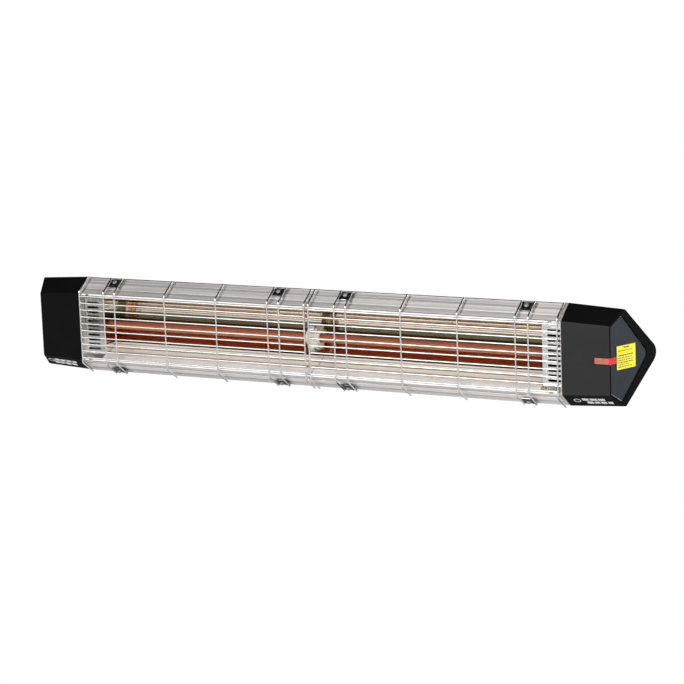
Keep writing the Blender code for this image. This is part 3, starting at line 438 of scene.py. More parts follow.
def tone(piece, chosen, index):
    """Give another of its materials to the faces whose centre, in millimetres, passes a test."""
    for face in piece.data.polygons:
        if chosen(face.center / MM):
            face.material_index = index


def carve(piece, draw_tool, operation="DIFFERENCE"):
    """Apply one Boolean to a piece, with a tool that draw_tool(bm) draws."""
    bm = bmesh.new()
    draw_tool(bm)
    tool = new_piece("cutter", bm)
    boolean = piece.modifiers.new("carve", "BOOLEAN")
    boolean.operation = operation
    boolean.object = tool
    bpy.context.view_layer.update()
    depsgraph = bpy.context.evaluated_depsgraph_get()
    mesh = bpy.data.meshes.new_from_object(piece.evaluated_get(depsgraph))
    piece.modifiers.clear()
    piece.data = mesh
    bpy.data.objects.remove(tool, do_unlink=True)
    shade(piece)


def soften(piece, width, segments=3, angle=35.0):
    """Rounded edges by a Bevel modifier."""
    bevel = piece.modifiers.new("soft_edges", "BEVEL")
    bevel.width = width * MM
    bevel.segments = segments
    bevel.limit_method = "ANGLE"
    bevel.angle_limit = radians(angle)
    bevel.harden_normals = True
    return piece


def finish(piece, slot, *materials, body="heater"):
    """Materials and body of a piece; the slot is not used."""
    for material in materials:
        piece.data.materials.append(material)
    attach(piece, body)


def stand_for(piece, slot, *materials, body="heater"):
    """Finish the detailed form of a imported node, with flat shading weights, and let it replace the node."""
    weighted = piece.modifiers.new("flat_weights", "WEIGHTED_NORMAL")
    weighted.keep_sharp = True
    finish(piece, slot, *materials, body=body)
    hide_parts(piece.name.removesuffix("_detail"))


def dress(node, material, width=0.0):
    """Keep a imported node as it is, with a finished material and lightly rounded edges."""
    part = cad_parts[node]
    for slot in part.material_slots:
        slot.material = material
    weld = part.modifiers.new("joined_facets", "WELD")
    weld.merge_threshold = 0.001 * MM
    part.data.shade_smooth()
    if width:
        soften(part, width)


# ------------------------------ shared sections

def housing_outline(shrink=0.0):
    """Five-sided section with rounded edges; every shrink gives the same point count."""
    corners = [(0.0, FRONT_HALF), (CORNER_Y, CORNER_HALF), (APEX_Y, 0.0),
               (CORNER_Y, -CORNER_HALF), (0.0, -FRONT_HALF)]
    edge = max(CORNER_RADIUS - shrink, 0.5)
    radii = [1.0, edge, APEX_RADIUS - shrink, edge, 1.0]
    return rounded(offset_path(corners, -shrink, closed=True), radii, CORNER_STEPS)


def panel_outline(grow):
    """Recess in the cap's end face, with the same point count as the housing outline."""
    corners = [(2.9, 41.2), (21.7, 54.2), (66.0, 0.0), (21.7, -54.2), (2.9, -41.2)]
    radii = [1.5, 2.5, 9.0, 2.5, 1.5]
    return rounded(offset_path(corners, grow, closed=True), radii, CORNER_STEPS)


def shrunk(outline):
    """Outline of a cap's outer end, from the one at its inner end."""
    return [(CAP_SHRINK_ABOUT_Y + (y - CAP_SHRINK_ABOUT_Y) * CAP_SHRINK_Y, z * CAP_SHRINK_Z)
            for y, z in outline]


def end_x(y, inset=0.0):
    """X of the slanted end face at a depth, less an inset along X."""
    return CAP_OUT + CAP_SLANT * y - inset


def slope_point(along, out, sign):
    """(y, z) on a front slope: along it from the front edge, and out from its surface."""
    spot = Vector((0.0, FRONT_HALF)) + SLOPE_ALONG * along + SLOPE_OUT * out
    return (spot.x, sign * spot.y)


def slope_matrix(x, along, out, sign):
    """Frame on a front slope: local Z out of the slope, local X along the heater."""
    y, z = slope_point(along, out, sign)
    angle = SLOPE_ANGLE if sign > 0 else pi - SLOPE_ANGLE
    return Matrix.Translation(at(x, y, z)) @ Matrix.Rotation(angle, 4, "X")


def trough_path():
    """Flange, faceted half-round trough with eased folds, flange, from top to bottom."""
    steps = 16
    path = [(FLANGE_Y, FLANGE_HALF)]
    for step in range(steps + 1):
        angle = pi / 2 - pi * step / steps
        path.append((TROUGH_Y + TROUGH_RADIUS * cos(angle), TROUGH_RADIUS * sin(angle)))
    path.append((FLANGE_Y, -FLANGE_HALF))
    radii = [1.2] + [9.0] * (steps - 1) + [1.2]
    return rounded_path(path, radii, 2)


# ------------------------------ housing

def add_notches(bm):
    """Air slots through the lip and the flange behind it, near both ends."""
    for side in (-1, 1):
        for sign in (-1, 1):
            low, high = sorted((side * 338.5, side * 344.0))
            bottom, top = sorted((sign * 42.4, sign * 45.2))
            add_box(bm, at(low, -1.0, bottom), at(high, 5.0, top))


def slope_place(point):
    """How far a point of the shell is along its front slope, and out of it."""
    spot = Vector((point.y - FRONT, abs(point.z) - FRONT_HALF))
    return spot.dot(SLOPE_ALONG), spot.dot(SLOPE_OUT)


def on_slope(spans, deepest=-0.6, highest=0.1):
    """Test for faces that lie in spans along a front slope, between two heights out of it."""
    def chosen(point):
        along, out = slope_place(point)
        return deepest < out < highest and any(start < along < stop for start, stop in spans)
    return chosen


def inside_shell(point):
    """Inner faces of the shell, away from its rear ridge, which take painted shade."""
    spot = Vector((point.y - FRONT - CORNER_Y, abs(point.z) - CORNER_HALF))
    depth = min(point.y - FRONT, -slope_place(point)[1], -spot.dot(REAR_OUT))
    return point.y - FRONT < 60.0 and depth > 1.4


def make_housing():
    """Rolled shell with a fine joint and shallow strips along each front slope; the strips carry painted shade
    and painted light, and the joints and inner faces painted shadow.
    """
    step, sunk, joint = -0.15, -0.4, -0.3
    ribs = [(0.35, 0.0), (0.45, joint), (1.5, joint), (1.6, 0.0), (6.6, 0.0), (6.8, sunk), (10.4, sunk),
            (10.6, 0.0), (19.9, 0.0), (20.1, sunk), (23.9, sunk), (24.1, step), (29.4, step), (29.6, 0.0),
            (30.6, 0.0), (30.7, joint), (31.9, joint)]
    half = [(0.0, LIP_HALF), (0.0, FRONT_HALF)]
    half += [slope_point(along, out, 1) for along, out in ribs]
    half += rounded([half[-1], (CORNER_Y, CORNER_HALF), (APEX_Y, 0.0)], [0.0, CORNER_RADIUS, 0.0],
                    [1, 6, 1])[1:-1]
    apex = [(CORNER_Y, CORNER_HALF), (APEX_Y, 0.0), (CORNER_Y, -CORNER_HALF)]
    arc = rounded(apex, [0.0, APEX_RADIUS, 0.0], [1, 24, 1])[1:-1]
    outside = half + arc + [(y, -z) for y, z in reversed(half)]
    lip = [(SHELL_WALL, LIP_HALF)]
    inside = lip + housing_outline(SHELL_WALL)[1:-1] + [(SHELL_WALL, -LIP_HALF)]
    bm = bmesh.new()
    add_prism(bm, outside + inside[::-1], *span("housing_shell"))
    shell = new_piece("housing_shell_detail", bm)
    carve(shell, add_notches)
    # Painted shade on the sunk strips and painted light on the strips between them.
    tone(shell, on_slope([(6.7, 10.5), (20.0, 24.0)]), 2)
    tone(shell, on_slope([(10.5, 20.0), (29.55, 30.8)]), 3)
    # Painted shadow in the fine joints along both edges of each slope, and painted shade on the shell's inner
    # faces.
    tone(shell, on_slope([(0.3, 1.4), (30.6, 32.0)], -0.5, -0.1), 1)
    tone(shell, inside_shell, 1)
    tone(shell, lambda point: point.y - FRONT < 0.1, 4)
    stand_for(shell, "housing_aluminium", BRUSHED, PAINTED_SHADOW, BRUSHED_SHADED, BRUSHED_LIT, FLANGE)


# ------------------------------ end caps

def cap_rings(side):
    """Rings from the cavity floor out over the skin and the rim, and into the panel recess."""
    def ring(outline, x_of):
        return [at(side * x_of(y), y, z) for y, z in outline]

    def end_ring(outline, inset):
        return ring(outline, lambda y: end_x(y, inset))

    cavity = housing_outline(CAP_WALL)
    rings = [end_ring(shrunk(cavity), PANEL_RECESS + CAP_WALL), ring(cavity, lambda y: CAP_IN)]
    rings.append(ring(housing_outline(0.3), lambda y: CAP_IN))
    rings.append(ring(housing_outline(), lambda y: CAP_IN + 0.3))
    rim = 1.1
    for step in range(5):
        turn = pi / 2 * step / 4
        outline = shrunk(housing_outline(rim * (1 - cos(turn))))
        rings.append(end_ring(outline, rim * (1 - sin(turn))))
    lip = 0.5
    for step in range(4):
        turn = pi / 2 * step / 3
        rings.append(end_ring(panel_outline(lip * (1 - sin(turn))), lip * (1 - cos(turn))))
    rings.append(end_ring(panel_outline(0.0), PANEL_RECESS))
    return rings


def lens_outline(grow, ribs=0):
    """Lens in plan (x, y): along the cap's front, round the corner and onto the end."""
    front = [(399.3 - grow, 0.5 - 3.0 * grow)]
    for rib in range(ribs):
        x = 400.2 + 17.0 * rib / ribs
        front += [(x, 0.5), (x + 0.25, 0.72), (x + 0.5, 0.5)]
    return front + [(417.6 + 0.4 * grow, 0.8 - 3.0 * grow),
                    (418.9 + grow, 1.2 - 2.0 * grow), (419.9 + 2.0 * grow, 2.0 - 0.6 * grow),
                    (423.9 + 2.0 * grow, 11.0 + grow), (419.0 - 2.0 * grow, 11.0 + grow),
                    (415.8 - grow, 3.6 + grow), (399.3 - grow, 3.6 + grow)]


def add_lens(bm, grow, ribs=0):
    """Lens, or with some growth the tool for its hole."""
    add_loft(bm, [[at(x, y, z) for x, y in lens_outline(grow, ribs)] for z in (-4.3 - grow, 3.2 + grow)])


def gland_matrix():
    """Frame of the cable gland: local Z out of the lower rear slope of the right cap."""
    angle = atan2(-REAR_OUT.x, -REAR_OUT.y)
    return Matrix.Translation(at(392.0, 56.0, -32.4)) @ Matrix.Rotation(angle, 4, "X")


def make_end_cap(word):
    """Hollow tapered cap with a recess in its end; the right one has holes for the lens and the gland."""
    bm = bmesh.new()
    add_loft(bm, cap_rings(SIDES[word]))
    cap = new_piece(f"end_cap_{word}_detail", bm)
    if word == "right":
        carve(cap, lambda bm: add_lens(bm, 0.9))
        carve(cap, lambda bm: add_turned(bm, [(6.4, 12.0), (6.4, -12.0)], gland_matrix(), 40))
        # The right cap's front faces take the lighter copy: painted light.
        tone(cap, lambda point: point.y - FRONT < 1.3 and abs(point.z) < FRONT_HALF, 1)
    stand_for(cap, "cap_black", CAP_BLACK, CAP_FRONT_LIT)


def make_end_panel(word):
    """Slate panel in the cap's recess, with a pale chamfer that is a painted highlight; the right one has a
    hole for the lens.
    """
    edge = 0.8
    low, high = PANEL_RECESS - PANEL_GAP, PANEL_RECESS - PANEL_GAP - PANEL_THICK
    rings = [(0.0, low), (0.0, high + edge), (edge, high)]
    bm = bmesh.new()
    add_loft(bm, [[at(SIDES[word] * end_x(y, inset), y, z) for y, z in panel_outline(-PANEL_GAP - shrink)]
                  for shrink, inset in rings])
    panel = new_piece(f"end_panel_{word}_detail", bm)
    if word == "right":
        carve(panel, lambda bm: add_lens(bm, 0.45))
    # The chamfer takes the pale grey painted highlight.
    tone(panel, lambda point: abs(end_x(point.y - FRONT) - abs(point.x) - high - edge / 2) < 0.2, 1)
    stand_for(panel, "panel_slate", SLATE, PANEL_EDGE_HIGHLIGHT)


def make_lens():
    """Red lens with fine ribs across its front."""
    bm = bmesh.new()
    add_lens(bm, 0.0, ribs=14)
    lens = soften(new_piece("indicator_lens_detail", bm, 25.0), 0.25, 2, 50.0)
    # The ribbed front takes the paler copy: painted sheen.
    tone(lens, lambda point: point.x < 417.8, 1)
    stand_for(lens, "indicator_red", LENS_RED, LENS_FRONT_SHEEN)


def end_box(bm, y_span, z_span, insets, material_index):
    """Thin box parallel to the right cap's end face, between two insets from it."""
    outline = [(y_span[0], z_span[0]), (y_span[1], z_span[0]), (y_span[1], z_span[1]), (y_span[0], z_span[1])]
    add_loft(bm, [[at(end_x(y, inset), y, z) for y, z in outline] for inset in insets], material_index)


def make_label():
    """Yellow label with a navy border and plain bars where a maker prints its ratings."""
    y0, y1, z0, z1 = 12.7, 45.0, -14.0, 17.0
    border, margin, indent = 0.9, 3.0, 9.0
    bm = bmesh.new()
    end_box(bm, (y0, y1), (z0, z1), (1.2, 0.85), 1)
    end_box(bm, (y0 + border, y1 - border), (z0 + border, z1 - border), (0.95, 0.80), 0)
    draw = random.Random(11)
    rows = [(13.6, 1.7, 0.35), (9.9, 0.9, 0.9), (6.9, 0.25, 1.0), (4.0, 1.5, 0.95), (0.9, 1.0, 0.85),
            (-1.9, 1.0, 0.9), (-4.7, 1.2, 0.95), (-7.4, 0.9, 0.7), (-10.2, 1.0, 0.85)]
    for z, height, share in rows:
        start = y0 + margin + (indent if share < 0.5 else 0.0)
        stop = start + (y1 - y0 - 2 * margin) * share
        while start < stop - 0.8:
            run = draw.uniform(2.2, 5.5) if height > 0.5 else stop - start
            end_box(bm, (start, min(start + run, stop)), (z - height / 2, z + height / 2), (0.82, 0.77), 1)
            start += run + draw.uniform(0.5, 0.9)
    stand_for(new_piece("rating_label_detail", bm), "label_yellow", YELLOW, NAVY_INK)


def make_print(word):
    """Two rows of plain white bars, and a ring, printed on a cap's lower front chamfer."""
    side = SIDES[word]
    draw = random.Random(5 if word == "right" else 8)
    bm = bmesh.new()
    x_from, x_to = (378.0, 412.0) if word == "right" else (372.0, 408.0)
    for along, offset in ((12.6, 0.0), (21.4, 4.0)):
        x = x_from + offset
        while x < x_to + offset - 3.0:
            stop = min(x + draw.uniform(6.5, 9.5), x_to + offset)
            add_print_word(bm, side, (x, stop), along, draw)
            x = stop + draw.uniform(1.4, 2.0)
    centre = 370.5 if word == "right" else 415.0
    ring = [(4.6, 0.06), (4.6, 0.0), (3.5, 0.0), (3.5, 0.06)]
    add_ring(bm, ring, cap_slope_matrix(side, centre, 15.5))
    finish(new_piece(f"cap_print_{word}", bm), "cap_black", WHITE_INK)


def cap_slope_matrix(side, x, along):
    """Frame on the tapered lower front chamfer of a cap, local Z out of it."""
    def spot(share_x, s):
        y, z = slope_point(s, 0.0, -1)
        far_y, far_z = shrunk([(y, z)])[0]
        far_x = end_x(far_y)
        share = (share_x - CAP_IN) / (far_x - CAP_IN)
        return at(side * share_x, y + (far_y - y) * share, z + (far_z - z) * share)

    origin = spot(x, along)
    across = (spot(x + 1.0, along) - spot(x - 1.0, along)).normalized()
    down = (spot(x, along + 1.0) - spot(x, along - 1.0)).normalized()
    out = across.cross(down).normalized()
    if out.z > 0:
        out = -out
    down = out.cross(across)
    turn = Matrix((across, down, out)).transposed().to_4x4()
    return Matrix.Translation(origin) @ turn


def add_print_word(bm, side, ends, along, draw):
    """Group of close upright bars between two places along the cap, like a printed block."""
    x, height = ends[0], 6.4
    while x < ends[1]:
        width = draw.uniform(1.3, 2.4)
        stop = min(x + width, ends[1])
        half = (stop - x) / 2
        tall = height / 2 * draw.uniform(0.82, 1.0)
        add_box(bm, (-half, -tall, -0.05), (half, tall, 0.06),
                cap_slope_matrix(side, (x + stop) / 2, along))
        x = stop + 0.25


def add_ring(bm, profile, matrix, segments=32):
    """Closed ring turned about local Z from a closed (radius, z) profile."""
    rows = [[bm.verts.new(matrix @ Vector((radius * c, radius * s, z))) for radius, z in profile]
            for c, s in circle(segments)]
    count = len(profile)
    for i in range(segments):
        near, far = rows[i], rows[(i + 1) % segments]
        for k in range(count):
            bm.faces.new((near[k], near[(k + 1) % count], far[(k + 1) % count], far[k]))


def make_gland():
    """Nylon body of the cable gland, with its collar against the cap."""
    body = [(GLAND_BORE, 13.0), (6.6, 13.0), (6.6, 5.0), (9.5, 5.0), (9.5, 1.2), (6.0, 1.2), (6.0, -7.0),
            (GLAND_BORE, -7.0)]
    bm = bmesh.new()
    add_ring(bm, body, gland_matrix(), 40)
    stand_for(soften(new_piece("cable_gland_detail", bm), 0.3, 2), "gland_black", GLAND_BLACK)


def make_gland_nut():
    """Ribbed dome nut of the cable gland."""
    nut = [(GLAND_BORE, 20.0), (5.4, 20.0), (7.2, 18.6), (8.4, 17.0), (8.8, 15.0), (8.8, 5.4), (7.0, 5.4),
           (7.0, 13.6), (GLAND_BORE, 13.6)]
    bm = bmesh.new()
    add_ring(bm, nut, gland_matrix(), 48)
    count = 18
    for rib in range(count):
        turn = gland_matrix() @ Matrix.Rotation(tau * rib / count, 4, "Z")
        add_box(bm, (8.6, -0.5, 6.0), (9.2, 0.5, 14.5), turn)
    stand_for(new_piece("gland_nut_detail", bm), "gland_black", GLAND_BLACK)


# ------------------------------ reflector and vent plates

def make_reflector(word):
    """Folded mirror trough with bright flanges."""
    bm = bmesh.new()
    add_prism(bm, thick_strip(trough_path(), SHEET), *span(f"reflector_{word}"))
    trough = new_piece(f"reflector_{word}_detail", bm, 20.0)
    # The lower part of the trough takes the satin copy, with its own painted reflection bands.
    tone(trough, lambda point: point.z < -25.0, 2)
    tone(trough, lambda point: abs(point.z) > TROUGH_RADIUS + 0.6, 1)
    stand_for(trough, "mirror_aluminium", MIRROR, FLANGE, SATIN)


def add_slots(bm, side):
    """Eleven round-ended slots through a vent plate."""
    count, pitch, half = 11, 6.3, 1.55
    for row in range(count):
        z = (row - (count - 1) / 2) * pitch
        outline = []
        for end, start_angle in ((351.0 - half, -90), (332.0 + half, 90)):
            for step in range(9):
                angle = radians(start_angle + 180 * step / 8)
                outline.append((end + half * cos(angle), z + half * sin(angle)))
        add_loft(bm, [[at(side * x, y, z) for x, z in outline] for y in (TROUGH_Y - 3, TROUGH_Y + 3)])


def make_vent_plate(word):
    """Bright slotted plate over the lamp's end, with the half-round wall that shuts the trough."""
    side = SIDES[word]
    near, far = 324.8, 354.1
    path = [(FLANGE_Y, FLANGE_HALF), (TROUGH_Y, TROUGH_RADIUS), (TROUGH_Y, -TROUGH_RADIUS),
            (FLANGE_Y, -FLANGE_HALF)]
    bm = bmesh.new()
    add_prism(bm, thick_strip(rounded_path(path, [1.2] * 2, 4), SHEET), side * near, side * far)
    plate = new_piece(f"vent_plate_{word}_detail", bm)

    def add_wall(bm):
        arc = [(TROUGH_Y + TROUGH_RADIUS * cos(a), TROUGH_RADIUS * sin(a))
               for a in [pi / 2 - pi * step / 48 for step in range(1, 48)]]
        wall = [(TROUGH_Y + 0.3, TROUGH_RADIUS - 0.2)] + arc
        wall.append((TROUGH_Y + 0.3, -TROUGH_RADIUS + 0.2))
        add_prism(bm, wall, side * (near + 0.01), side * (near + SHEET))

    def add_lamp_hole(bm):
        matrix = Matrix.Translation(at(side * near, LAMP_Y, 0.0)) @ Matrix.Rotation(pi / 2, 4, "Y")
        add_turned(bm, [(7.5, 5.0), (7.5, -5.0)], matrix, 40)

    carve(plate, add_wall, "UNION")
    carve(plate, add_lamp_hole)
    carve(plate, lambda bm: add_slots(bm, side))
    carve(plate, add_notches)
    tone(plate, lambda point: abs(point.x) < near + 0.1 and point.y - FRONT > TROUGH_Y + SHEET, 1)
    # The left plate takes the darker copy: painted shade.
    stand_for(plate, "mirror_aluminium", BRIGHT if word == "right" else BRIGHT_SHADED, MIRROR)


# ------------------------------ lamps

def along_x(x, y, z=0.0, side=1):
    """Frame whose local Z runs along the heater, towards the given side."""
    return Matrix.Translation(at(x, y, z)) @ Matrix.Rotation(side * pi / 2, 4, "Y")


def make_lamp_tube(word):
    """Ruby quartz tube with eased ends."""
    low, high = span(f"lamp_tube_{word}")
    half, edge = (high - low) / 2.0, 0.4
    profile = [(LAMP_BORE, half - edge), (LAMP_BORE + edge, half), (LAMP_RADIUS - edge, half),
               (LAMP_RADIUS, half - edge)]
    profile += [(radius, -z) for radius, z in reversed(profile)]
    bm = bmesh.new()
    add_ring(bm, profile, along_x((low + high) / 2.0, LAMP_Y), 64)
    stand_for(new_piece(f"lamp_tube_{word}_detail", bm), "ruby_quartz", RUBY)


def helix(start, pitch, radius, per_turn, steps):
    """Points wound round the lamps' axis, from a place along it."""
    return [at(start + pitch * step / per_turn, LAMP_Y + radius * cos(tau * step / per_turn),
               radius * sin(tau * step / per_turn)) for step in range(steps + 1)]


def make_filament(word):
    """Wound wire inside a tube, with the rings that carry it."""
    start, end = span(f"filament_{word}")
    pitch, per_turn, spacing = 1.3, 10, 24.0
    turns = round((end - start - 4.0) / pitch)
    bm = bmesh.new()
    add_tube(bm, helix(start + 2.0, pitch, 0.9, per_turn, turns * per_turn), 0.24, 5)
    for support in range(1, int((end - start) / spacing)):
        add_tube(bm, helix(start + support * spacing, 1.25, 3.8, 20, 24), 0.2, 5)
    stand_for(new_piece(f"filament_{word}_detail", bm), "filament_wire", TUNGSTEN)


def make_lamp_base(word):
    """Ceramic base on a lamp's outer end, with a neck and a contact pin."""
    side = SIDES[word]
    profile = [(0.01, 4.0), (2.3, 4.0), (2.6, 3.7), (2.6, 1.6), (6.1, 1.6), (6.6, 1.1), (6.6, -3.6),
               (6.2, -4.0), (0.01, -4.0)]
    outer = max(abs(x) for x in span(f"lamp_base_{word}"))
    bm = bmesh.new()
    add_turned(bm, profile, along_x(side * (outer - 4.0), LAMP_Y, 0.0, side), 40)
    stand_for(new_piece(f"lamp_base_{word}_detail", bm), "holder_ceramic", BASE_CERAMIC)


def make_middle_holder():
    """Two-lobed ceramic block with a collar and a socket round each tube."""
    low, high = span("middle_lamp_holder")
    half, back = 14.0, 38.0
    lobes = [(19.0, 4.0), (19.0, 12.0), (22.0, half), (back, half), (back, -half),
             (22.0, -half), (19.0, -12.0), (19.0, -4.0), (21.0, 0.0)]
    outline = rounded(lobes, [1.5, 2.5, 2.5, 1.0, 1.0, 2.5, 2.5, 1.5, 1.0], [4] * 9)
    bm = bmesh.new()
    add_prism(bm, outline, low + 3.0, high - 3.0)
    holder = soften(new_piece("middle_lamp_holder_detail", bm), 0.5)

    collar = [(9.4, 3.0), (9.8, 2.6), (9.8, -4.0)]
    socket = [(6.6, 4.2), (5.9, 2.0), (5.9, -6.0)]
    for x, side in ((high - 3.0, 1), (low + 3.0, -1)):
        face = along_x(x, LAMP_Y, 0.0, side)
        carve(holder, lambda bm: add_turned(bm, collar, face, 48), "UNION")
        carve(holder, lambda bm: add_turned(bm, socket, face, 48))
    stand_for(holder, "holder_ceramic", CERAMIC)


def make_middle_clip(word, sign):
    """Hooked steel strip over one lobe of the middle holder."""
    path = [(21.5, 15.9), (36.0, 15.9), (36.0, 17.4), (20.0, 17.4), (16.8, 13.0), (16.8, 7.0), (18.3, 7.0),
            (18.3, 12.6)]
    radii = [0.4, 0.2, 0.2, 2.0, 2.0, 0.5, 0.5, 1.0]
    bm = bmesh.new()
    add_prism(bm, rounded([(y, sign * z) for y, z in path], radii, [3] * 8), *span(f"middle_clip_{word}"))
    clip = soften(new_piece(f"middle_clip_{word}_detail", bm), 0.2, 2, 50.0)
    stand_for(clip, "plated_steel", ZINC)


# ------------------------------ guards, clips and screws

def in_painted_wire_shade(point):
    """Faces with painted shade: the shaded side of a guard's legs, and the short wires along the rear of its
    clips, painted dark as a reflection.
    """
    behind = abs(point.x) - min(UPRIGHTS, key=lambda x: abs(abs(point.x) - x))
    behind = copysign(behind, behind * point.x)
    return abs(point.z) > 62.5 or (abs(point.z) > UPRIGHT_HALF + 1.0 and behind < 0.5)


def make_guard(word):
    """Round wires: bent uprights in front, straight rows behind them, a weld at each crossing."""
    side = SIDES[word]
    draw = random.Random(21 + side)
    corners = [(UPRIGHT_Y + LEG_DEPTH, UPRIGHT_HALF + LEG_RISE), (UPRIGHT_Y, UPRIGHT_HALF),
               (UPRIGHT_Y, -UPRIGHT_HALF), (UPRIGHT_Y + LEG_DEPTH, -UPRIGHT_HALF - LEG_RISE)]
    path = rounded_path(corners, [3.0] * 2, 8)
    leg = Vector((LEG_DEPTH, LEG_RISE))
    inward = Vector((leg.y, -leg.x)).normalized() * (ROW_Y - UPRIGHT_Y)
    rows = [(ROW_Y, (row - (ROW_COUNT - 1) / 2) * ROW_PITCH) for row in range(ROW_COUNT)]
    ties = []
    for share in (0.50, 0.95):
        spot = Vector((UPRIGHT_Y, UPRIGHT_HALF)) + leg * share + inward
        ties += [(spot.x, spot.y), (spot.x, -spot.y)]
    leans = {x: (side * x + draw.uniform(-0.12, 0.12), draw.uniform(-0.2, 0.2)) for x in UPRIGHTS}
    paired = {x for pair in CLIP_PAIRS for x in pair}

    def add_uprights(bm):
        for x, lean in leans.values():
            add_tube(bm, [at(x + lean * z / UPRIGHT_HALF, y, z) for y, z in path], WIRE_RADIUS, 14)

    def add_rows(bm):
        spans = [(spot, UPRIGHTS[::len(UPRIGHTS) - 1]) for spot in rows]
        spans += [(spot, pair) for spot in ties for pair in CLIP_PAIRS]
        for (y, z), ends in spans:
            add_tube(bm, [at(side * x, y, z) for x in ends], ROW_RADIUS, 14)

    def add_welds(bm):
        for place, (x, lean) in leans.items():
            for y, z in rows + ties if place in paired else rows:
                out = Vector((-1.0, 0.0)) if abs(z) < UPRIGHT_HALF else -inward.normalized()
                out = Vector((out.x, copysign(abs(out.y), z)))
                middle = at(x + lean * z / UPRIGHT_HALF, y + out.x * 0.95, z + out.y * 0.95)
                size = draw.uniform(0.95, 1.15)
                matrix = Matrix.Translation(middle) @ Matrix.Diagonal((size, size, size, 1.0))
                bmesh.ops.create_uvsphere(bm, u_segments=10, v_segments=6, radius=1.18, matrix=matrix)

    bm = bmesh.new()
    add_uprights(bm)
    guard = new_piece(f"guard_{word}_detail", bm, 50.0)
    carve(guard, add_rows, "UNION")
    carve(guard, add_welds, "UNION")
    shade(guard, 50.0)
    # Painted shade on the legs' shaded side and a painted dark reflection on the short wires.
    tone(guard, in_painted_wire_shade, 1)
    stand_for(guard, "guard_wire", STAINLESS, WIRE_PAINTED_SHADE)


def make_clip(node):
    """Folded clip with a waist, hooked over the guard's wires."""
    low, high = box(node)
    x = (low.x + high.x) / 2.0
    half = (high.x - low.x) / 2.0
    sign = 1 if low.z > 0 else -1
    start, end = CLIP_ALONG - 5.0, CLIP_ALONG + 4.4
    hook = CLIP_ALONG - 8.2
    section = [(start, 0.3), (end, 0.3), (end, 4.6), (hook, 4.6), (hook, 3.9), (start, 3.9)]
    bm = bmesh.new()
    add_prism(bm, [slope_point(along, out, sign) for along, out in section], x - half, x + half)
    clip = new_piece(node + "_detail", bm)

    def add_pocket(bm):
        add_box(bm, (1.6 - half, -3.6, -0.7), (half - 1.6, 3.2, 2.0), slope_matrix(x, CLIP_ALONG, 4.6, sign))

    def add_waist(bm):
        for along in (hook - 2.6, end + 2.6):
            add_turned(bm, [(5.0, 9.0), (5.0, -9.0)], slope_matrix(x, along, 0.0, sign), 40)

    carve(clip, add_pocket)
    carve(clip, add_waist)
    soften(clip, 0.35, 3)
    stand_for(clip, "clip_black", CLIP_BLACK)


def make_clip_screw(node):
    """Domed screw with a cross slot, through the middle of a clip."""
    low, high = box(node)
    matrix = slope_matrix((low.x + high.x) / 2.0, CLIP_ALONG, 3.95, 1 if low.z > 0 else -1)
    profile = [(0.01, 2.6), (1.2, 2.5), (2.2, 2.1), (2.9, 1.3), (3.1, 0.7), (3.1, 0.0), (1.6, 0.0), (1.6, -8.0),
               (0.01, -8.6)]
    bm = bmesh.new()
    add_turned(bm, profile, matrix, 36)
    screw = new_piece(node + "_detail", bm)
    for turn in (0.6, 0.6 + pi / 2):
        slot = matrix @ Matrix.Rotation(turn, 4, "Z")
        carve(screw, lambda bm: add_box(bm, (-1.9, -0.4, 1.2), (1.9, 0.4, 4.0), slot))
    stand_for(screw, "plated_steel", SCREW_ZINC)


# ------------------------------ brackets, bolts and wiring

def bolt_y(word):
    """Depth of a tilt bolt's axis."""
    low, high = box(f"pivot_bolt_{word}")
    return (low.y + high.y) / 2.0 - FRONT


def add_hexagon(bm, x_near, x_far, centre_y, near_scale=0.90):
    """Hexagonal prism along X, its far end and, if scaled, its near end chamfered."""
    across, cut = 7.5, copysign(0.7, x_far - x_near)
    ends = ((x_near, near_scale), (x_near + cut, 1.0), (x_far - cut, 1.0), (x_far, 0.90))
    add_loft(bm, [[at(x, centre_y + across * scale * c, across * scale * s) for c, s in circle(6)]
                  for x, scale in ends])


def make_bolt(word):
    """Tilt bolt with a hexagon head and thread rings on its last 12 mm."""
    side = SIDES[word]
    low, high = span(f"pivot_bolt_{word}")
    head_length, pitch = 5.5, 1.2
    head_end = high if side > 0 else low
    seat, length = head_end - side * head_length, high - low - head_length
    bm = bmesh.new()
    add_hexagon(bm, seat, head_end, bolt_y(word), 1.0)
    bolt = new_piece(f"pivot_bolt_{word}_detail", bm)
    z = 12.0 - length
    profile = [(4.0, 1.0), (4.0, z)]
    while z > 1.5 - length:
        profile += [(3.55, z - pitch / 2), (4.0, z - pitch)]
        z -= pitch
    profile += [(3.2, -length)]
    shank = along_x(seat, bolt_y(word), 0.0, side)
    carve(bolt, lambda bm: add_turned(bm, profile, shank, 32), "UNION")
    stand_for(bolt, "plated_steel", ZINC, body="wall_mount")


def make_nut(word):
    """Hexagon nut with both ends chamfered, on the tilt bolt."""
    low, high = span(f"pivot_nut_{word}")
    bm = bmesh.new()
    add_hexagon(bm, low, high, bolt_y(word))
    nut = new_piece(f"pivot_nut_{word}_detail", bm)
    bore = along_x((low + high) / 2.0, bolt_y(word))
    carve(nut, lambda bm: add_turned(bm, [(4.35, 8.0), (4.35, -8.0)], bore, 32))
    stand_for(nut, "plated_steel", ZINC, body="wall_mount")


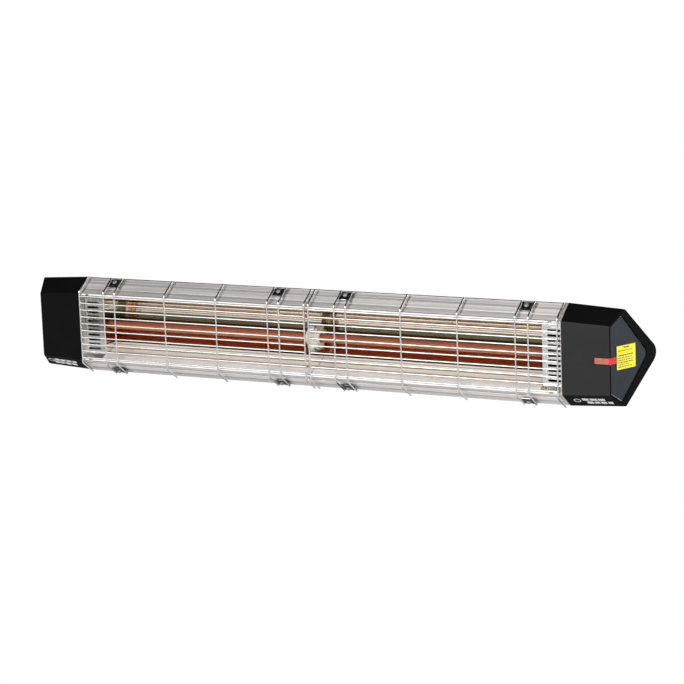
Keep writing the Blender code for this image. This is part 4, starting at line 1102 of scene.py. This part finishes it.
def make_lug_rivets(word):
    """Blind rivets that hold each pivot lug to the shell's rear slopes."""
    middle = sum(span(f"pivot_lug_{word}")) / 2.0
    spot = Vector((CORNER_Y, CORNER_HALF)) + REAR_ALONG * 58.0 + REAR_OUT * 2.8
    head = [(0.01, 1.3), (1.2, 1.2), (2.2, 0.8), (2.9, 0.2), (2.9, -0.3), (0.01, -0.3)]
    bm = bmesh.new()
    for sign in (1, -1):
        lean = Matrix.Rotation(-sign * atan2(REAR_OUT.x, REAR_OUT.y), 4, "X")
        flip = Matrix.Rotation(0.0 if sign > 0 else pi, 4, "X")
        for x in (middle - 14.0, middle + 14.0):
            place = Matrix.Translation(at(x, spot.x, sign * spot.y))
            add_turned(bm, head, place @ lean @ flip, 24)
    finish(new_piece(f"lug_rivets_{word}", bm), "plated_steel", ZINC)


def dress_kept_nodes():
    """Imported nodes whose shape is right, with finished materials."""
    for word in SIDES:
        dress(f"end_plate_{word}", BRUSHED, 0.15)
        dress(f"lamp_holder_{word}", BASE_CERAMIC, 0.5)
        dress(f"pivot_lug_{word}", ZINC, 0.4)
        dress(f"wall_bracket_{word}", ZINC, 0.4)
    dress("middle_bracket", GOLD_ZINC, 0.2)
    dress("terminal_block", CERAMIC, 0.3)
    dress("indicator_lamp", LENS_RED)
    for name in ("lead_left_lamp", "lead_common", "lead_right_lamp"):
        dress(name, BRAID)


# ------------------------------ studio

def white_to_camera(tree, output, lighting):
    """Shader that the camera sees as plain white, and that lights the heater as given."""
    mix = add_node(tree, "MixShader", Fac=add_node(tree, "LightPath").outputs["Is Camera Ray"])
    feed(tree, mix.inputs[1], lighting)
    feed(tree, mix.inputs[2], add_node(tree, "Emission").outputs["Emission"])
    feed(tree, output.inputs["Surface"], mix.outputs["Shader"])


def make_floor(glow):
    """Wide pale floor well below the heater."""
    bm = bmesh.new()
    bmesh.ops.create_grid(bm, x_segments=1, y_segments=1, size=120000.0,
                          matrix=Matrix.Translation((0.0, 0.0, -1600.0)))
    floor = new_piece("floor", bm)
    material = surface("pale_floor", (0.50, 0.52), (0.7, 0.9), 3.0, 0.1, broad=0.5,
                       Emission_Color=(1.0, 1.0, 1.0, 1.0), Emission_Strength=glow)
    tree = material.node_tree
    white_to_camera(tree, tree.nodes["Material Output"], tree.nodes["Principled BSDF"].outputs["BSDF"])
    floor.data.materials.append(material)


def make_world(dark, bright):
    """One broad light wall in front of the heater with soft edges, and dark elsewhere."""
    world = bpy.data.worlds.new("studio")
    world.use_nodes = True
    bpy.context.scene.world = world
    tree = world.node_tree
    split = add_node(tree, "SeparateXYZ", Vector=add_node(tree, "TexCoord").outputs["Generated"])
    wall = add_node(tree, "Math")
    wall.operation = "MULTIPLY"
    feed(tree, wall.inputs[0], spread(tree, split.outputs["Y"], (-0.45, -0.76)))
    feed(tree, wall.inputs[1], spread(tree, split.outputs["X"], (-0.66, -0.48)))
    background = tree.nodes["Background"]
    feed(tree, background.inputs["Color"], blend_colors(tree, wall.outputs[0], dark, bright))
    white_to_camera(tree, tree.nodes["World Output"], background.outputs["Background"])


def softbox(name, place, aim_x, size, energy):
    """Rectangular area light, in metres, that shows in reflections but not to the camera."""
    light = bpy.data.lights.new(name, "AREA")
    light.shape = "RECTANGLE"
    light.size, light.size_y = size
    light.energy = energy
    holder = bpy.data.objects.new(name, light)
    holder.location = place
    aim = Vector((aim_x, FRONT * MM, 0.0)) - Vector(place)
    holder.rotation_euler = aim.to_track_quat("-Z", "Y").to_euler()
    holder.visible_camera = False
    bpy.context.scene.collection.objects.link(holder)


def make_camera():
    azimuth, elevation, roll = (radians(a) for a in (28.972, 10.715, -2.126))
    target = at(50.086, 0.0, 2.538) * MM
    back = Vector((sin(azimuth) * cos(elevation), -cos(azimuth) * cos(elevation),
                   sin(elevation)))
    right = (-back).cross(Vector((0.0, 0.0, 1.0))).normalized()
    up = right.cross(-back)
    across = right * cos(roll) + up * sin(roll)
    above = up * cos(roll) - right * sin(roll)
    data = bpy.data.cameras.new("camera")
    data.lens = 131.89
    data.sensor_width = 36.0
    data.clip_end = 400.0
    camera = bpy.data.objects.new("camera", data)
    turn = Matrix((across, above, back)).transposed().to_4x4()
    camera.matrix_world = Matrix.Translation(target + back * 3.210449) @ turn
    bpy.context.scene.collection.objects.link(camera)
    bpy.context.scene.camera = camera


def make_studio():
    make_floor(0.20)
    make_world(0.04, 4.0)
    softbox("right_box", (2.4, -1.2, 0.4), 0.4, (1.4, 1.4), 22.0)
    softbox("rim_box", (1.9, 1.5, 0.2), 0.0, (1.2, 1.2), 16.0)
    softbox("back_box", (1.0, 2.6, 1.4), 0.0, (2.4, 1.2), 18.0)
    bpy.context.scene.view_settings.view_transform = "Standard"


# ------------------------------ assembly

def build():
    make_camera()
    make_studio()
    make_housing()
    for word in SIDES:
        make_end_cap(word)
        make_end_panel(word)
        make_print(word)
        make_reflector(word)
        make_vent_plate(word)
        make_lamp_tube(word)
        make_filament(word)
        make_lamp_base(word)
        make_guard(word)
        make_bolt(word)
        make_nut(word)
        make_lug_rivets(word)
        for place in ("inner", "outer"):
            for level in ("upper", "lower"):
                make_clip(f"guard_clip_{place}_{level}_{word}")
                make_clip_screw(f"clip_screw_{place}_{level}_{word}")
    make_lens()
    make_label()
    make_gland()
    make_gland_nut()
    make_middle_holder()
    make_middle_clip("upper", 1)
    make_middle_clip("lower", -1)
    dress_kept_nodes()


build()
